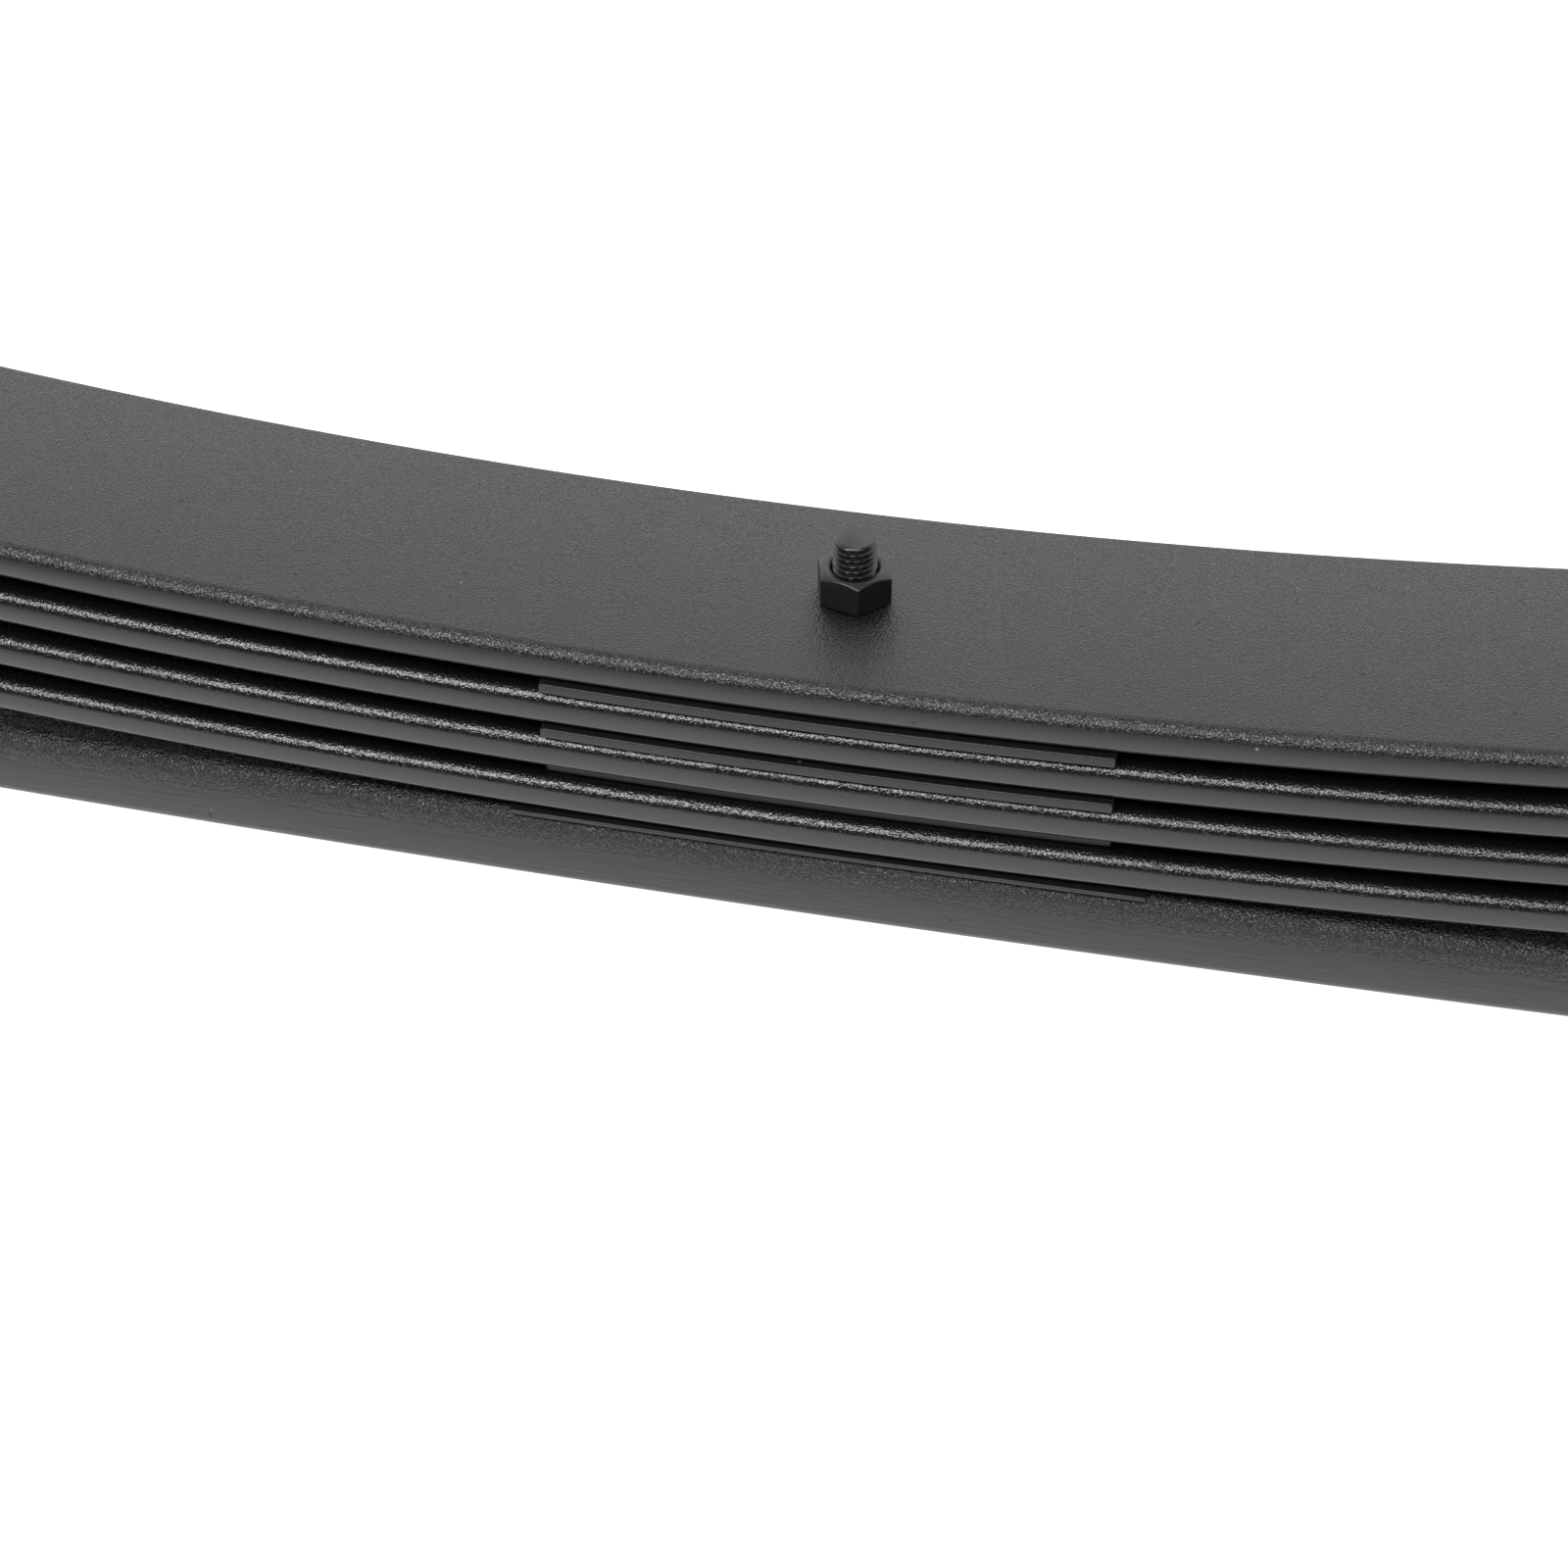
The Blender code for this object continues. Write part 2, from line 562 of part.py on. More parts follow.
def make_clip(name, side, index, limb_pivot, third_leaf):
    """A rebound clip: strap, rivet, cross bolt, spacer tube and nut, just inside the tip pad."""
    third_reach = LOWER_REACHES[1][index]
    arc = side * (third_reach - PAD_SETBACK - PAD_LENGTH - CLIP_BEHIND_PAD)
    below = LEAF_THICKNESS + TOUCH
    base_x, base_z = leaf_point(2, arc, below)
    turn = slope_at(lambda at: leaf_point(2, at, below), arc)
    location = Vector((base_x, 0, base_z)) - limb_pivot.location
    frame = empty(name + "_clip_frame", location, turn, limb_pivot)
    pack_height = leaf_top_depth(2, arc) + below
    bolt_z = pack_height + CLIP_BOLT_RISE
    height = bolt_z + STRAP_ABOVE_BOLT
    inside_half = LEAF_WIDTH / 2 + STRAP_SIDE_GAP

    outline = flat_curve(name + "_clip_strap_outline", strap_outline(inside_half, height), True)
    outline.data.fill_mode = "BOTH"
    outline.data.extrude = STRAP_WIDTH / 2
    bpy.context.view_layer.update()
    strap = welded_solid(name + "_clip_strap", outline)
    place(strap, frame, (0, 0, 0), (pi / 2, 0, pi / 2))
    bolt_hole = CLIP_BOLT_DIAMETER + 2 * RUNNING
    rivet_hole = RIVET_DIAMETER + 2 * RUNNING
    across = (pi / 2, 0, 0)
    drill(strap, bolt_hole, 2 * LEAF_WIDTH, frame, (0, 0, bolt_z), across)
    drill(strap, rivet_hole, 4 * LEAF_THICKNESS, frame)
    drill(third_leaf, rivet_hole, 4 * LEAF_THICKNESS, frame)
    painted(strap)

    top = below + TOUCH
    bottom = -STRAP_THICKNESS - TOUCH
    shank = RIVET_DIAMETER / 2
    head = RIVET_HEAD_DIAMETER / 2
    profile = [
        (0.0, top + RIVET_TOP_HEIGHT),
        (head * 0.8, top + RIVET_TOP_HEIGHT),
        (head, top),
        (shank, top),
        (shank, bottom),
        (head, bottom),
        (head * 0.8, bottom - RIVET_HEAD_HEIGHT * 0.6),
        (head * 0.4, bottom - RIVET_HEAD_HEIGHT),
        (0.0, bottom - RIVET_HEAD_HEIGHT),
    ]
    rivet = turned(name + "_clip_rivet", profile, SMALL_ROUND_STEPS)
    place(rivet, frame, (0, 0, 0))
    painted(rivet)
    smooth(rivet)

    arm_face = inside_half + STRAP_THICKNESS + TOUCH
    facet = 1 / cos(pi / SMALL_ROUND_STEPS)
    tube_length = 2 * (inside_half - TOUCH)
    tube_bore = (CLIP_BOLT_DIAMETER + 2 * RUNNING) * facet
    tube = ring(
        name + "_clip_spacer", SPACER_DIAMETER, tube_bore, tube_length, RUNNING,
        SMALL_ROUND_STEPS,
    )
    place(tube, frame, (0, 0, bolt_z), across)
    painted(tube)
    smooth(tube)

    face = CLIP_HEX_FACE_SHARE * CLIP_HEX_ACROSS_FLATS
    drop = CLIP_HEX_DROP_SHARE * CLIP_HEX_ACROSS_FLATS
    bolt = hexagon(name + "_clip_bolt", CLIP_HEX_ACROSS_FLATS, CLIP_HEAD_HEIGHT, face, drop)
    radius = CLIP_BOLT_DIAMETER / 2
    reach_through = 2 * arm_face + CLIP_NUT_HEIGHT + CLIP_BOLT_STICK_OUT
    sunk = CLIP_HEAD_HEIGHT / 2
    profile = [
        (0.0, sunk),
        (radius, sunk),
        (radius, 2 * RUNNING - reach_through),
        (radius - 2 * RUNNING, -reach_through),
        (0.0, -reach_through),
    ]
    shaft = turned(name + "_clip_bolt_shaft", profile, SMALL_ROUND_STEPS)
    place(shaft, frame, (0, -arm_face, bolt_z), across)
    place(bolt, frame, (0, -arm_face, bolt_z), across)
    bolt.modifiers[0].object.parent = bolt
    cut(bolt, shaft, "UNION")
    painted(bolt)

    nut = hexagon(name + "_clip_nut", CLIP_HEX_ACROSS_FLATS, CLIP_NUT_HEIGHT, face, drop)
    outward = (-pi / 2, 0, 0)
    place(nut, frame, (0, arm_face, bolt_z), outward)
    nut.modifiers[0].object.parent = nut
    drill(nut, tube_bore, 4 * CLIP_NUT_HEIGHT, frame, (0, arm_face, bolt_z), outward)
    painted(nut)


def make_tip_pad(name, side, number, leaf, limb_pivot):
    """A low-friction pad with a peg that snaps into the lower leaf's tip."""
    reach = LOWER_REACHES[number][0 if side > 0 else 1]
    outer_arc = reach - PAD_SETBACK
    inner_arc = outer_arc - PAD_LENGTH
    middle_arc = side * (outer_arc + inner_arc) / 2
    thickness = LINER_SPACE - 2 * TOUCH
    lift = -TOUCH - thickness / 2
    arcs = sorted((side * inner_arc, middle_arc, side * outer_arc))
    path = [leaf_point(number + 1, arc, lift) for arc in arcs]
    pad = swept_bar(name, path, PAD_WIDTH, thickness, TOUCH)

    peg_x, peg_z = leaf_point(number + 1, middle_arc, 0.0)
    turn = slope_at(lambda at: leaf_point(number + 1, at, 0.0), middle_arc)
    offset = Vector((peg_x, 0, peg_z)) - limb_pivot.location
    frame = empty(name + "_frame", offset, turn, limb_pivot)
    radius = PEG_DIAMETER / 2
    end = -LEAF_THICKNESS * 0.85
    root = TOUCH + thickness / 2
    profile = [(0.0, root), (radius, root), (radius, 2 * RUNNING + end)]
    profile += [(radius - 2 * RUNNING, end), (0.0, end)]
    peg = turned(name + "_peg", profile, SMALL_ROUND_STEPS)
    place(peg, frame, (0, 0, 0))
    cut(pad, peg, "UNION")
    pad.parent = limb_pivot
    pad.matrix_parent_inverse = limb_pivot.matrix_world.inverted()
    drill(leaf, PEG_DIAMETER + 2 * RUNNING, 4 * LEAF_THICKNESS, frame)
    finish(pad, (0.03, 0.03, 0.032, 1.0), 0.45, 0.0)


def pivot_arc(reach):
    """Arc length of the axis that a limb bends about."""
    return SEAT_HALF_LENGTH + PIVOT_SHARE * (reach - SEAT_HALF_LENGTH)


def make_limb(name, side, index, leaves):
    """What rides on one half of the spring: bush, clip and tip pads."""
    reach = (FRONT_EYE_REACH, REAR_EYE_REACH)[index]
    pivot_x, pivot_z = leaf_point(0, side * pivot_arc(reach), LEAF_THICKNESS / 2)
    limb_pivot = empty(name + "_limb_pivot", Vector((pivot_x, 0, pivot_z)))
    bpy.context.view_layer.update()
    make_bush(name, side, reach, limb_pivot)
    make_clip(name, side, index, limb_pivot, leaves[2])
    for number, leaf_name in enumerate(("second", "third", "fourth")):
        pad_name = f"{name}_{leaf_name}_tip_pad"
        make_tip_pad(pad_name, side, number, leaves[number + 1], limb_pivot)


for old in list(bpy.data.objects):
    bpy.data.objects.remove(old)
PARTS = new_collection("leaf_spring")
CUTTERS = new_collection("leaf_spring_cutters")
spring_leaves = make_leaves()
make_liners()
make_centre_bolt()
make_centre_nut()
for side_name, side_sign, side_index in SIDES:
    make_limb(side_name, side_sign, side_index, spring_leaves)
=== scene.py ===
from math import atan2, cos, pi, radians, sin

import bmesh
import bpy
from mathutils import Matrix, Vector


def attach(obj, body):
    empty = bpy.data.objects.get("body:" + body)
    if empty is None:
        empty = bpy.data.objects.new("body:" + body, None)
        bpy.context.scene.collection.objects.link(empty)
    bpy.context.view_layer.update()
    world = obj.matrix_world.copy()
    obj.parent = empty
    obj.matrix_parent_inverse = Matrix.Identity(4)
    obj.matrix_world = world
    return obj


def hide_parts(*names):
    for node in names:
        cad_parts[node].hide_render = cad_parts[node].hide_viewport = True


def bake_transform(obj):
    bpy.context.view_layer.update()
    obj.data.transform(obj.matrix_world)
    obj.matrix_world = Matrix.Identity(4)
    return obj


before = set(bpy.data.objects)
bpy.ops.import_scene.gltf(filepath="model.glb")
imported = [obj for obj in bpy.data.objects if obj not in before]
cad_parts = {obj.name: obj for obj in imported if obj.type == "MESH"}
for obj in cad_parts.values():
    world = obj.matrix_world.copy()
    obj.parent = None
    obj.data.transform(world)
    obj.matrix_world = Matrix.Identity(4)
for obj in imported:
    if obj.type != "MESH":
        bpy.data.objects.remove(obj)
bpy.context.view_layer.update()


# ---- The four upper leaves ----
# Flat bars of spring steel, rolled with rounded edges and bent hot to one curve, the tips cut
# off at their corners. The main leaf on top is rolled up into an eye at each end. All are
# drilled for the centre bolt and sprayed black, and the paint dries with a fine orange peel.

LEAF_WIDTH = 0.0762
LEAF_THICKNESS = 0.0095
LEAF_EDGE_RADIUS = 0.0028
LEAF_SIDE_CROWN = 0.0009
MAIN_RADIUS = 1.878
LINER_SPACE = 0.0031
LEAF_PITCH = LEAF_THICKNESS + LINER_SPACE
MAIN_TOP_Z = 0.0790
EYE_REACH = {"front": 0.660, "rear": 0.760}
EYE_BORE_RADIUS = 0.0220
EYE_WRAP = radians(306)
LOWER_REACH = {"front": (0.600, 0.470, 0.350), "rear": (0.700, 0.550, 0.410)}
GAP_OPENING = (0.050, 0.049, 0.070)
TIP_TRIM_LENGTH = 0.022
TIP_TRIM_SHARE = 0.72
LEAF_END_ROUNDING = 0.0012
BAR_STEP = 0.008
TIP_STEP = 0.003
EYE_STEP = radians(4)
SIDE_SIGN = {"front": 1, "rear": -1}
BOLT_DIAMETER = 0.0104
BOLT_HOLE_DIAMETER = 0.0116
EDGE_SEGMENTS = 7
DRILL_SIDES = 40
DRILL_LENGTH = 0.12


class Wire:
    """An output socket that takes part in arithmetic."""

    def __init__(self, graph, socket):
        self.graph, self.socket = graph, socket

    def maths(self, operation, first, second=0.0):
        sockets = {0: first, 1: second}
        return self.graph.node("ShaderNodeMath", {"operation": operation}, sockets)

    def __add__(self, other):
        return self.maths("ADD", self, other)

    __radd__ = __add__

    def __sub__(self, other):
        return self.maths("SUBTRACT", self, other)

    def __rsub__(self, other):
        return self.maths("SUBTRACT", other, self)

    def __mul__(self, other):
        return self.maths("MULTIPLY", self, other)

    __rmul__ = __mul__

    def __truediv__(self, other):
        return self.maths("DIVIDE", self, other)

    def __pow__(self, power):
        return self.maths("POWER", self, power)

    def __abs__(self):
        return self.maths("ABSOLUTE", self)

    def __gt__(self, other):
        return self.maths("GREATER_THAN", self, other)

    def at_most(self, other):
        return self.maths("MINIMUM", self, other)

    def at_least(self, other):
        return self.maths("MAXIMUM", self, other)

    def part(self):
        """What is left over a whole number."""
        return self.maths("FRACT", self)

    def ramp(self, low, high):
        """0 below low and 1 above high, smooth in between; low may be the larger."""
        return self.graph.node(
            "ShaderNodeMapRange",
            {"interpolation_type": "SMOOTHSTEP"},
            {"Value": self, "From Min": low, "From Max": high},
        )

    def split(self):
        """A vector's three numbers, or a colour's."""
        kind = "ShaderNodeSeparateXYZ"
        return [self.graph.node(kind, {}, {"Vector": self}, axis) for axis in "XYZ"]


class Graph:
    """One node tree being built."""

    def __init__(self, tree):
        self.tree = tree

    def node(self, kind, settings=None, sockets=None, output=0):
        """A new node: its settings first, then its sockets' values or links."""
        made = self.tree.nodes.new(kind)
        for name, value in (settings or {}).items():
            setattr(made, name, value)
        for name, value in (sockets or {}).items():
            if isinstance(value, Wire):
                self.tree.links.new(value.socket, made.inputs[name])
            else:
                made.inputs[name].default_value = value
        return Wire(self, made.outputs[output])

    def vector(self, x, y, z):
        return self.node("ShaderNodeCombineXYZ", {}, {"X": x, "Y": y, "Z": z})

    def mix(self, share, first, second):
        """Two colours mixed."""
        return self.node(
            "ShaderNodeMix", {"data_type": "RGBA"}, {0: share, 6: first, 7: second}, 2
        )

    def noise(self, where, scale, detail=2.0, roughness=0.5):
        sockets = {"Vector": where, "Scale": scale, "Detail": detail, "Roughness": roughness}
        return self.node("ShaderNodeTexNoise", {}, sockets)

    def stretched(self, where, x, y, z):
        """A place scaled by its own factor along each axis."""
        return self.node(
            "ShaderNodeVectorMath", {"operation": "MULTIPLY"}, {0: where, 1: (x, y, z)}
        )


def geometry_tree(name, inputs):
    """An empty geometry tree with its named inputs, and a way to read them."""
    tree = bpy.data.node_groups.new(name, "GeometryNodeTree")
    tree.is_modifier = True
    for label, kind in inputs:
        tree.interface.new_socket(label, in_out="INPUT", socket_type="NodeSocket" + kind)
    tree.interface.new_socket("Geometry", in_out="OUTPUT", socket_type="NodeSocketGeometry")
    graph = Graph(tree)
    return graph, lambda label: graph.node("NodeGroupInput", output=label)


def close_tree(graph, given, geometry):
    """Real geometry, smooth, in its material, and out."""
    geometry = graph.node("GeometryNodeRealizeInstances", {}, {"Geometry": geometry})
    geometry = graph.node("GeometryNodeSetShadeSmooth", {}, {"Geometry": geometry})
    geometry = graph.node(
        "GeometryNodeSetMaterial", {}, {"Geometry": geometry, "Material": given("Material")}
    )
    out = graph.tree.nodes.new("NodeGroupOutput")
    graph.tree.links.new(geometry.socket, out.inputs["Geometry"])
    return graph.tree


def rolled_bar_tree():
    """Sweeps a rounded section along a spine and drills it. The spine's points carry their
    share of the full breadth and depth; loose points with a radius are the holes."""
    graph, given = geometry_tree("Rolled bar", (
        ("Spine", "Geometry"), ("Width", "Float"), ("Thickness", "Float"),
        ("Edge radius", "Float"), ("Side crown", "Float"), ("Material", "Material"),
    ))

    def kept(label, kind="FLOAT"):
        return graph.node(
            "GeometryNodeInputNamedAttribute", {"data_type": kind}, {"Name": label}
        )

    width, thickness = given("Width"), given("Thickness")
    section = graph.node(
        "GeometryNodeCurvePrimitiveQuadrilateral", {"mode": "RECTANGLE"},
        {"Width": width, "Height": thickness},
    )
    section = graph.node(
        "GeometryNodeFilletCurve", {"mode": "POLY"},
        {"Curve": section, "Count": EDGE_SEGMENTS, "Radius": given("Edge radius")},
    )
    section = graph.node("GeometryNodeSubdivideCurve", {}, {"Curve": section, "Cuts": 1})
    across, up, _ = graph.node("GeometryNodeInputPosition").split()
    height_share = 2 * up / thickness
    bulge = 1 - 2 * given("Side crown") / width * height_share * height_share
    section = graph.node(
        "GeometryNodeSetPosition", {},
        {"Geometry": section, "Position": graph.vector(across * bulge, up, 0.0)},
    )
    spine = graph.node("GeometryNodeMeshToCurve", {}, {"Mesh": given("Spine")})
    spine = graph.node(
        "GeometryNodeSetCurveNormal", {"mode": "FREE"}, {"Curve": spine, "Normal": (0, 1, 0)}
    )
    spine = graph.node(
        "GeometryNodeStoreNamedAttribute", {"data_type": "FLOAT_VECTOR", "domain": "POINT"},
        {"Geometry": spine, "Name": "middle", "Value": graph.node("GeometryNodeInputPosition")},
    )
    bar = graph.node(
        "GeometryNodeCurveToMesh", {},
        {"Curve": spine, "Profile Curve": section, "Fill Caps": True},
    )
    x, y, z = graph.node("GeometryNodeInputPosition").split()
    middle_x, middle_y, middle_z = kept("middle", "FLOAT_VECTOR").split()
    depth = kept("depth")
    place = graph.vector(
        middle_x + (x - middle_x) * depth,
        middle_y + (y - middle_y) * kept("breadth"),
        middle_z + (z - middle_z) * depth,
    )
    bar = graph.node("GeometryNodeSetPosition", {}, {"Geometry": bar, "Position": place})

    hole = kept("hole")
    points = graph.node(
        "GeometryNodeMeshToPoints", {"mode": "VERTICES"},
        {"Mesh": given("Spine"), "Selection": hole > 0.0},
    )
    drill = graph.node(
        "GeometryNodeMeshCylinder", {"fill_type": "NGON"},
        {"Vertices": DRILL_SIDES, "Radius": 1.0, "Depth": 1.0},
    )
    turn = graph.node(
        "FunctionNodeEulerToRotation", {}, {0: graph.vector(0.0, 0.0 - kept("tilt"), 0.0)}
    )
    drills = graph.node(
        "GeometryNodeInstanceOnPoints", {},
        {
            "Points": points, "Instance": drill, "Rotation": turn,
            "Scale": graph.vector(hole, hole, DRILL_LENGTH),
        },
    )
    drills = graph.node("GeometryNodeRealizeInstances", {}, {"Geometry": drills})
    bar = graph.node(
        "GeometryNodeMeshBoolean", {"operation": "DIFFERENCE", "solver": "EXACT"},
        {"Mesh 1": bar, "Mesh 2": drills},
    )
    return close_tree(graph, given, bar)


def in_scene(name, data):
    """A new object, linked to the scene."""
    made = bpy.data.objects.new(name, data)
    bpy.context.scene.collection.objects.link(made)
    return made


def plain_mesh(holder):
    """The mesh that a holder's modifier makes; the holder is then removed."""
    bpy.context.view_layer.update()
    graph = bpy.context.evaluated_depsgraph_get()
    mesh = bpy.data.meshes.new_from_object(holder.evaluated_get(graph))
    bpy.data.objects.remove(holder)
    return mesh


def made_by(tree, name, start, **sizes):
    """Runs a geometry tree on a starting mesh and returns the plain mesh it makes."""
    holder = in_scene(name, start)
    modifier = holder.modifiers.new("Make", "NODES")
    modifier.node_group = tree
    wanted = {label.replace("_", " "): value for label, value in sizes.items()}
    for item in tree.interface.items_tree:
        if item.in_out == "INPUT" and item.name in wanted:
            modifier[item.identifier] = wanted.pop(item.name)
    assert not wanted, wanted
    mesh = plain_mesh(holder)
    for label in ("middle", "breadth", "depth", "hole", "tilt"):
        if label in mesh.attributes:
            mesh.attributes.remove(mesh.attributes[label])
    return mesh


def new_piece(name, mesh, node, sharp=32):
    """A finished piece in the place of a model node."""
    mesh.name = name
    mesh.set_sharp_from_angle(angle=radians(sharp))
    piece = in_scene(name, mesh)
    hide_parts(node)
    return piece


def spine_mesh(name, path, holes=()):
    """A chain of (x, z, breadth share, depth share) points, and (x, z, radius, tilt) holes."""
    mesh = bpy.data.meshes.new(name)
    points = [(x, 0.0, z) for x, z, _, _ in path] + [(x, 0.0, z) for x, z, _, _ in holes]
    mesh.from_pydata(points, [(at, at + 1) for at in range(len(path) - 1)], [])
    none, full = [0.0] * len(path), [1.0] * len(holes)
    shares = {
        "breadth": [point[2] for point in path] + full,
        "depth": [point[3] for point in path] + full,
        "hole": none + [hole[2] for hole in holes],
        "tilt": none + [hole[3] for hole in holes],
    }
    for label, values in shares.items():
        mesh.attributes.new(label, "FLOAT", "POINT").data.foreach_set("value", values)
    return mesh


def pack_point(arc, depth):
    """(x, z) at an arc length along the main leaf's top and a depth square below it."""
    turn = arc / MAIN_RADIUS
    radius = MAIN_RADIUS + depth
    return radius * sin(turn), MAIN_TOP_Z + MAIN_RADIUS - radius * cos(turn)


def leaf_top_depth(number, side, distance):
    """Depth of leaf 0 (main) to 3 (fourth) under the main leaf's top at a distance out."""
    depth = number * LEAF_PITCH
    for gap in range(number):
        closing = 1 - (distance / LOWER_REACH[side][gap]) ** 2
        depth += 0.5 * GAP_OPENING[gap] * distance**2 * closing
    return depth


def leaf_point(number, side, distance, below_top):
    """(x, z) on a leaf at a distance out and a depth below its upper face."""
    depth = leaf_top_depth(number, side, distance) + below_top
    return pack_point(SIDE_SIGN[side] * distance, depth)


def leaf_slope(number, side, distance):
    """How far a leaf is turned up from level at a distance out, seen from the near side."""
    reach = 0.003
    near_x, near_z = leaf_point(number, side, distance - reach, LEAF_THICKNESS)
    far_x, far_z = leaf_point(number, side, distance + reach, LEAF_THICKNESS)
    return atan2(far_z - near_z, abs(far_x - near_x)) * SIDE_SIGN[side]


def evenly(first, last, step):
    """Values from first to last, both included, about a step apart."""
    count = max(1, round((last - first) / step))
    return [first + (last - first) * at / count for at in range(count + 1)]


def bar_stations(reach, width, thickness, trim_length, trim_share, rounding, step=BAR_STEP):
    """(distance, breadth, depth) from the bolt to a tip whose end edges are rounded off."""
    stations = []
    body = evenly(0.0, reach - trim_length, step)
    tip = evenly(reach - trim_length, reach - rounding, TIP_STEP)
    for distance in body + tip[1:]:
        left = (reach - distance) / trim_length
        stations.append((distance, trim_share + (1 - trim_share) * min(1.0, left), 1.0))
    for quarter in (22.5, 45, 67.5, 90):
        left = rounding * (1 - sin(radians(quarter)))
        inset = rounding * (1 - cos(radians(quarter)))
        breadth = trim_share + (1 - trim_share) * left / trim_length
        stations.append((reach - left, breadth - 2 * inset / width, 1 - 2 * inset / thickness))
    return stations


def eye_stations(side):
    """The main leaf's eye, from the end of the bar's curve round to the rolled end."""
    reach, sign = EYE_REACH[side], SIDE_SIGN[side]
    centre_x, centre_z = pack_point(sign * reach, -EYE_BORE_RADIUS)
    radius = EYE_BORE_RADIUS + LEAF_THICKNESS / 2
    rounding = LEAF_END_ROUNDING / radius
    turns = [(turn, 0.0) for turn in evenly(0.0, EYE_WRAP - rounding, EYE_STEP)[1:]]
    for quarter in (30, 60, 90):
        back = rounding * (1 - sin(radians(quarter)))
        turns.append((EYE_WRAP - back, LEAF_END_ROUNDING * (1 - cos(radians(quarter)))))
    stations = []
    for turn, inset in turns:
        lean = turn + reach / MAIN_RADIUS
        x, z = centre_x + sign * radius * sin(lean), centre_z - radius * cos(lean)
        stations.append((x, z, 1 - 2 * inset / LEAF_WIDTH, 1 - 2 * inset / LEAF_THICKNESS))
    return stations


def square_at_bolt(mesh):
    """Both halves of a leaf end exactly on the bolt's plane, where they meet."""
    nearly = 0.0003
    for vertex in mesh.vertices:
        if abs(vertex.co.x) < nearly:
            vertex.co.x = 0.0
    return mesh


def bend_with_limb(piece, side):
    """Bakes the piece's place into its mesh; nothing here makes it bend."""
    side + "_limb"
    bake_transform(piece)


def new_material(name):
    """A material with its shader, the graph to build on, and the place on the spring."""
    material = bpy.data.materials.new(name)
    material.use_nodes = True
    graph = Graph(material.node_tree)
    return material, graph, graph.node("ShaderNodeTexCoord", output="Object")


def feed_shader(graph, colour, roughness, height):
    """Links what changes over a surface to its shader; the height bends the normal."""
    normal = graph.node("ShaderNodeBump", {}, {"Height": height, "Distance": 1.0, "Strength": 1.0})
    shader = graph.tree.nodes["Principled BSDF"]
    for label, value in (("Base Color", colour), ("Roughness", roughness), ("Normal", normal)):
        graph.tree.links.new(value.socket, shader.inputs[label])
    return shader


def sprayed_paint(name, tone, peel_height, side_peel, gloss, tilts=(0.05, 0.45), streaks=0.0):
    """Black sprayed paint: orange peel on what faces the gun, between two tilts of the normal,
    flatter sides that can show rolling streaks, a few pits and a few specks of dust."""
    material, graph, where = new_material(name)
    facing_up = graph.node("ShaderNodeNewGeometry", output="Normal").split()[2]
    sprayed = facing_up.ramp(*tilts)
    cloud = graph.noise(where, 14.0, 3.0, 0.6)
    patch = graph.noise(where, 95.0, 4.0, 0.65)
    peel = graph.noise(where, 1700.0, 1.0, 0.5)
    fine_peel = graph.noise(where, 2100.0, 1.0, 0.5).ramp(0.3, 0.7)
    streak = graph.noise(graph.stretched(where, 70.0, 900.0, 900.0), 1.0, 3.0, 0.6)
    cells = {"Vector": where, "Scale": 190.0}
    cell = graph.node("ShaderNodeTexVoronoi", {}, cells)
    chance = graph.node("ShaderNodeTexVoronoi", {}, cells, "Color").split()[0]
    pit = cell.ramp(0.16, 0.06) * (chance > 0.93)
    dust = cell.ramp(0.10, 0.03) * chance.ramp(0.045, 0.02)
    shade = 0.82 + 0.30 * cloud + 0.16 * (patch - 0.5) + 0.35 * (peel - 0.5) * sprayed
    dark = tuple(0.45 * part for part in tone) + (1.0,)
    light = tuple(1.35 * part for part in tone) + (1.0,)
    colour = graph.mix(shade * 0.62, dark, light)
    colour = graph.mix(pit * 0.8, colour, PIT_BLACK)
    colour = graph.mix(dust * 0.7, colour, DUST_GREY)
    grain = (fine_peel - 0.5) * sprayed
    roughness = gloss + 0.10 * (patch - 0.5) + 1300 * peel_height * grain + 0.25 * pit
    ridge = (peel + 0.15 * fine_peel) * (side_peel + (1 - side_peel) * sprayed)
    height = ridge * peel_height + patch * 0.00004 - pit * 0.00004 + streak * streaks
    shader = feed_shader(graph, colour, roughness, height)
    shader.inputs["IOR"].default_value = PAINT_IOR
    return material


ROLLED_BAR = rolled_bar_tree()
PAINT_BLACK = (0.0045, 0.0045, 0.0045)
PIT_BLACK = (0.004, 0.004, 0.004, 1.0)
DUST_GREY = (0.30, 0.30, 0.29, 1.0)
PAINT_IOR = 1.62
LEAF_PAINT = sprayed_paint(
    "Leaf paint", PAINT_BLACK, peel_height=0.00025, side_peel=0.04, gloss=0.35
)
LOWER_LEAF_PAINT = sprayed_paint(
    "Lower leaf paint", PAINT_BLACK, peel_height=0.00014, side_peel=0.04, gloss=0.22
)
PEG_HOLE_RADIUS = 0.0064
PAD_SETBACK = 0.0100
PAD_LENGTH = 0.0360
CLIP_BEHIND_PAD = 0.0240
RIVET_HOLE_RADIUS = 0.0044

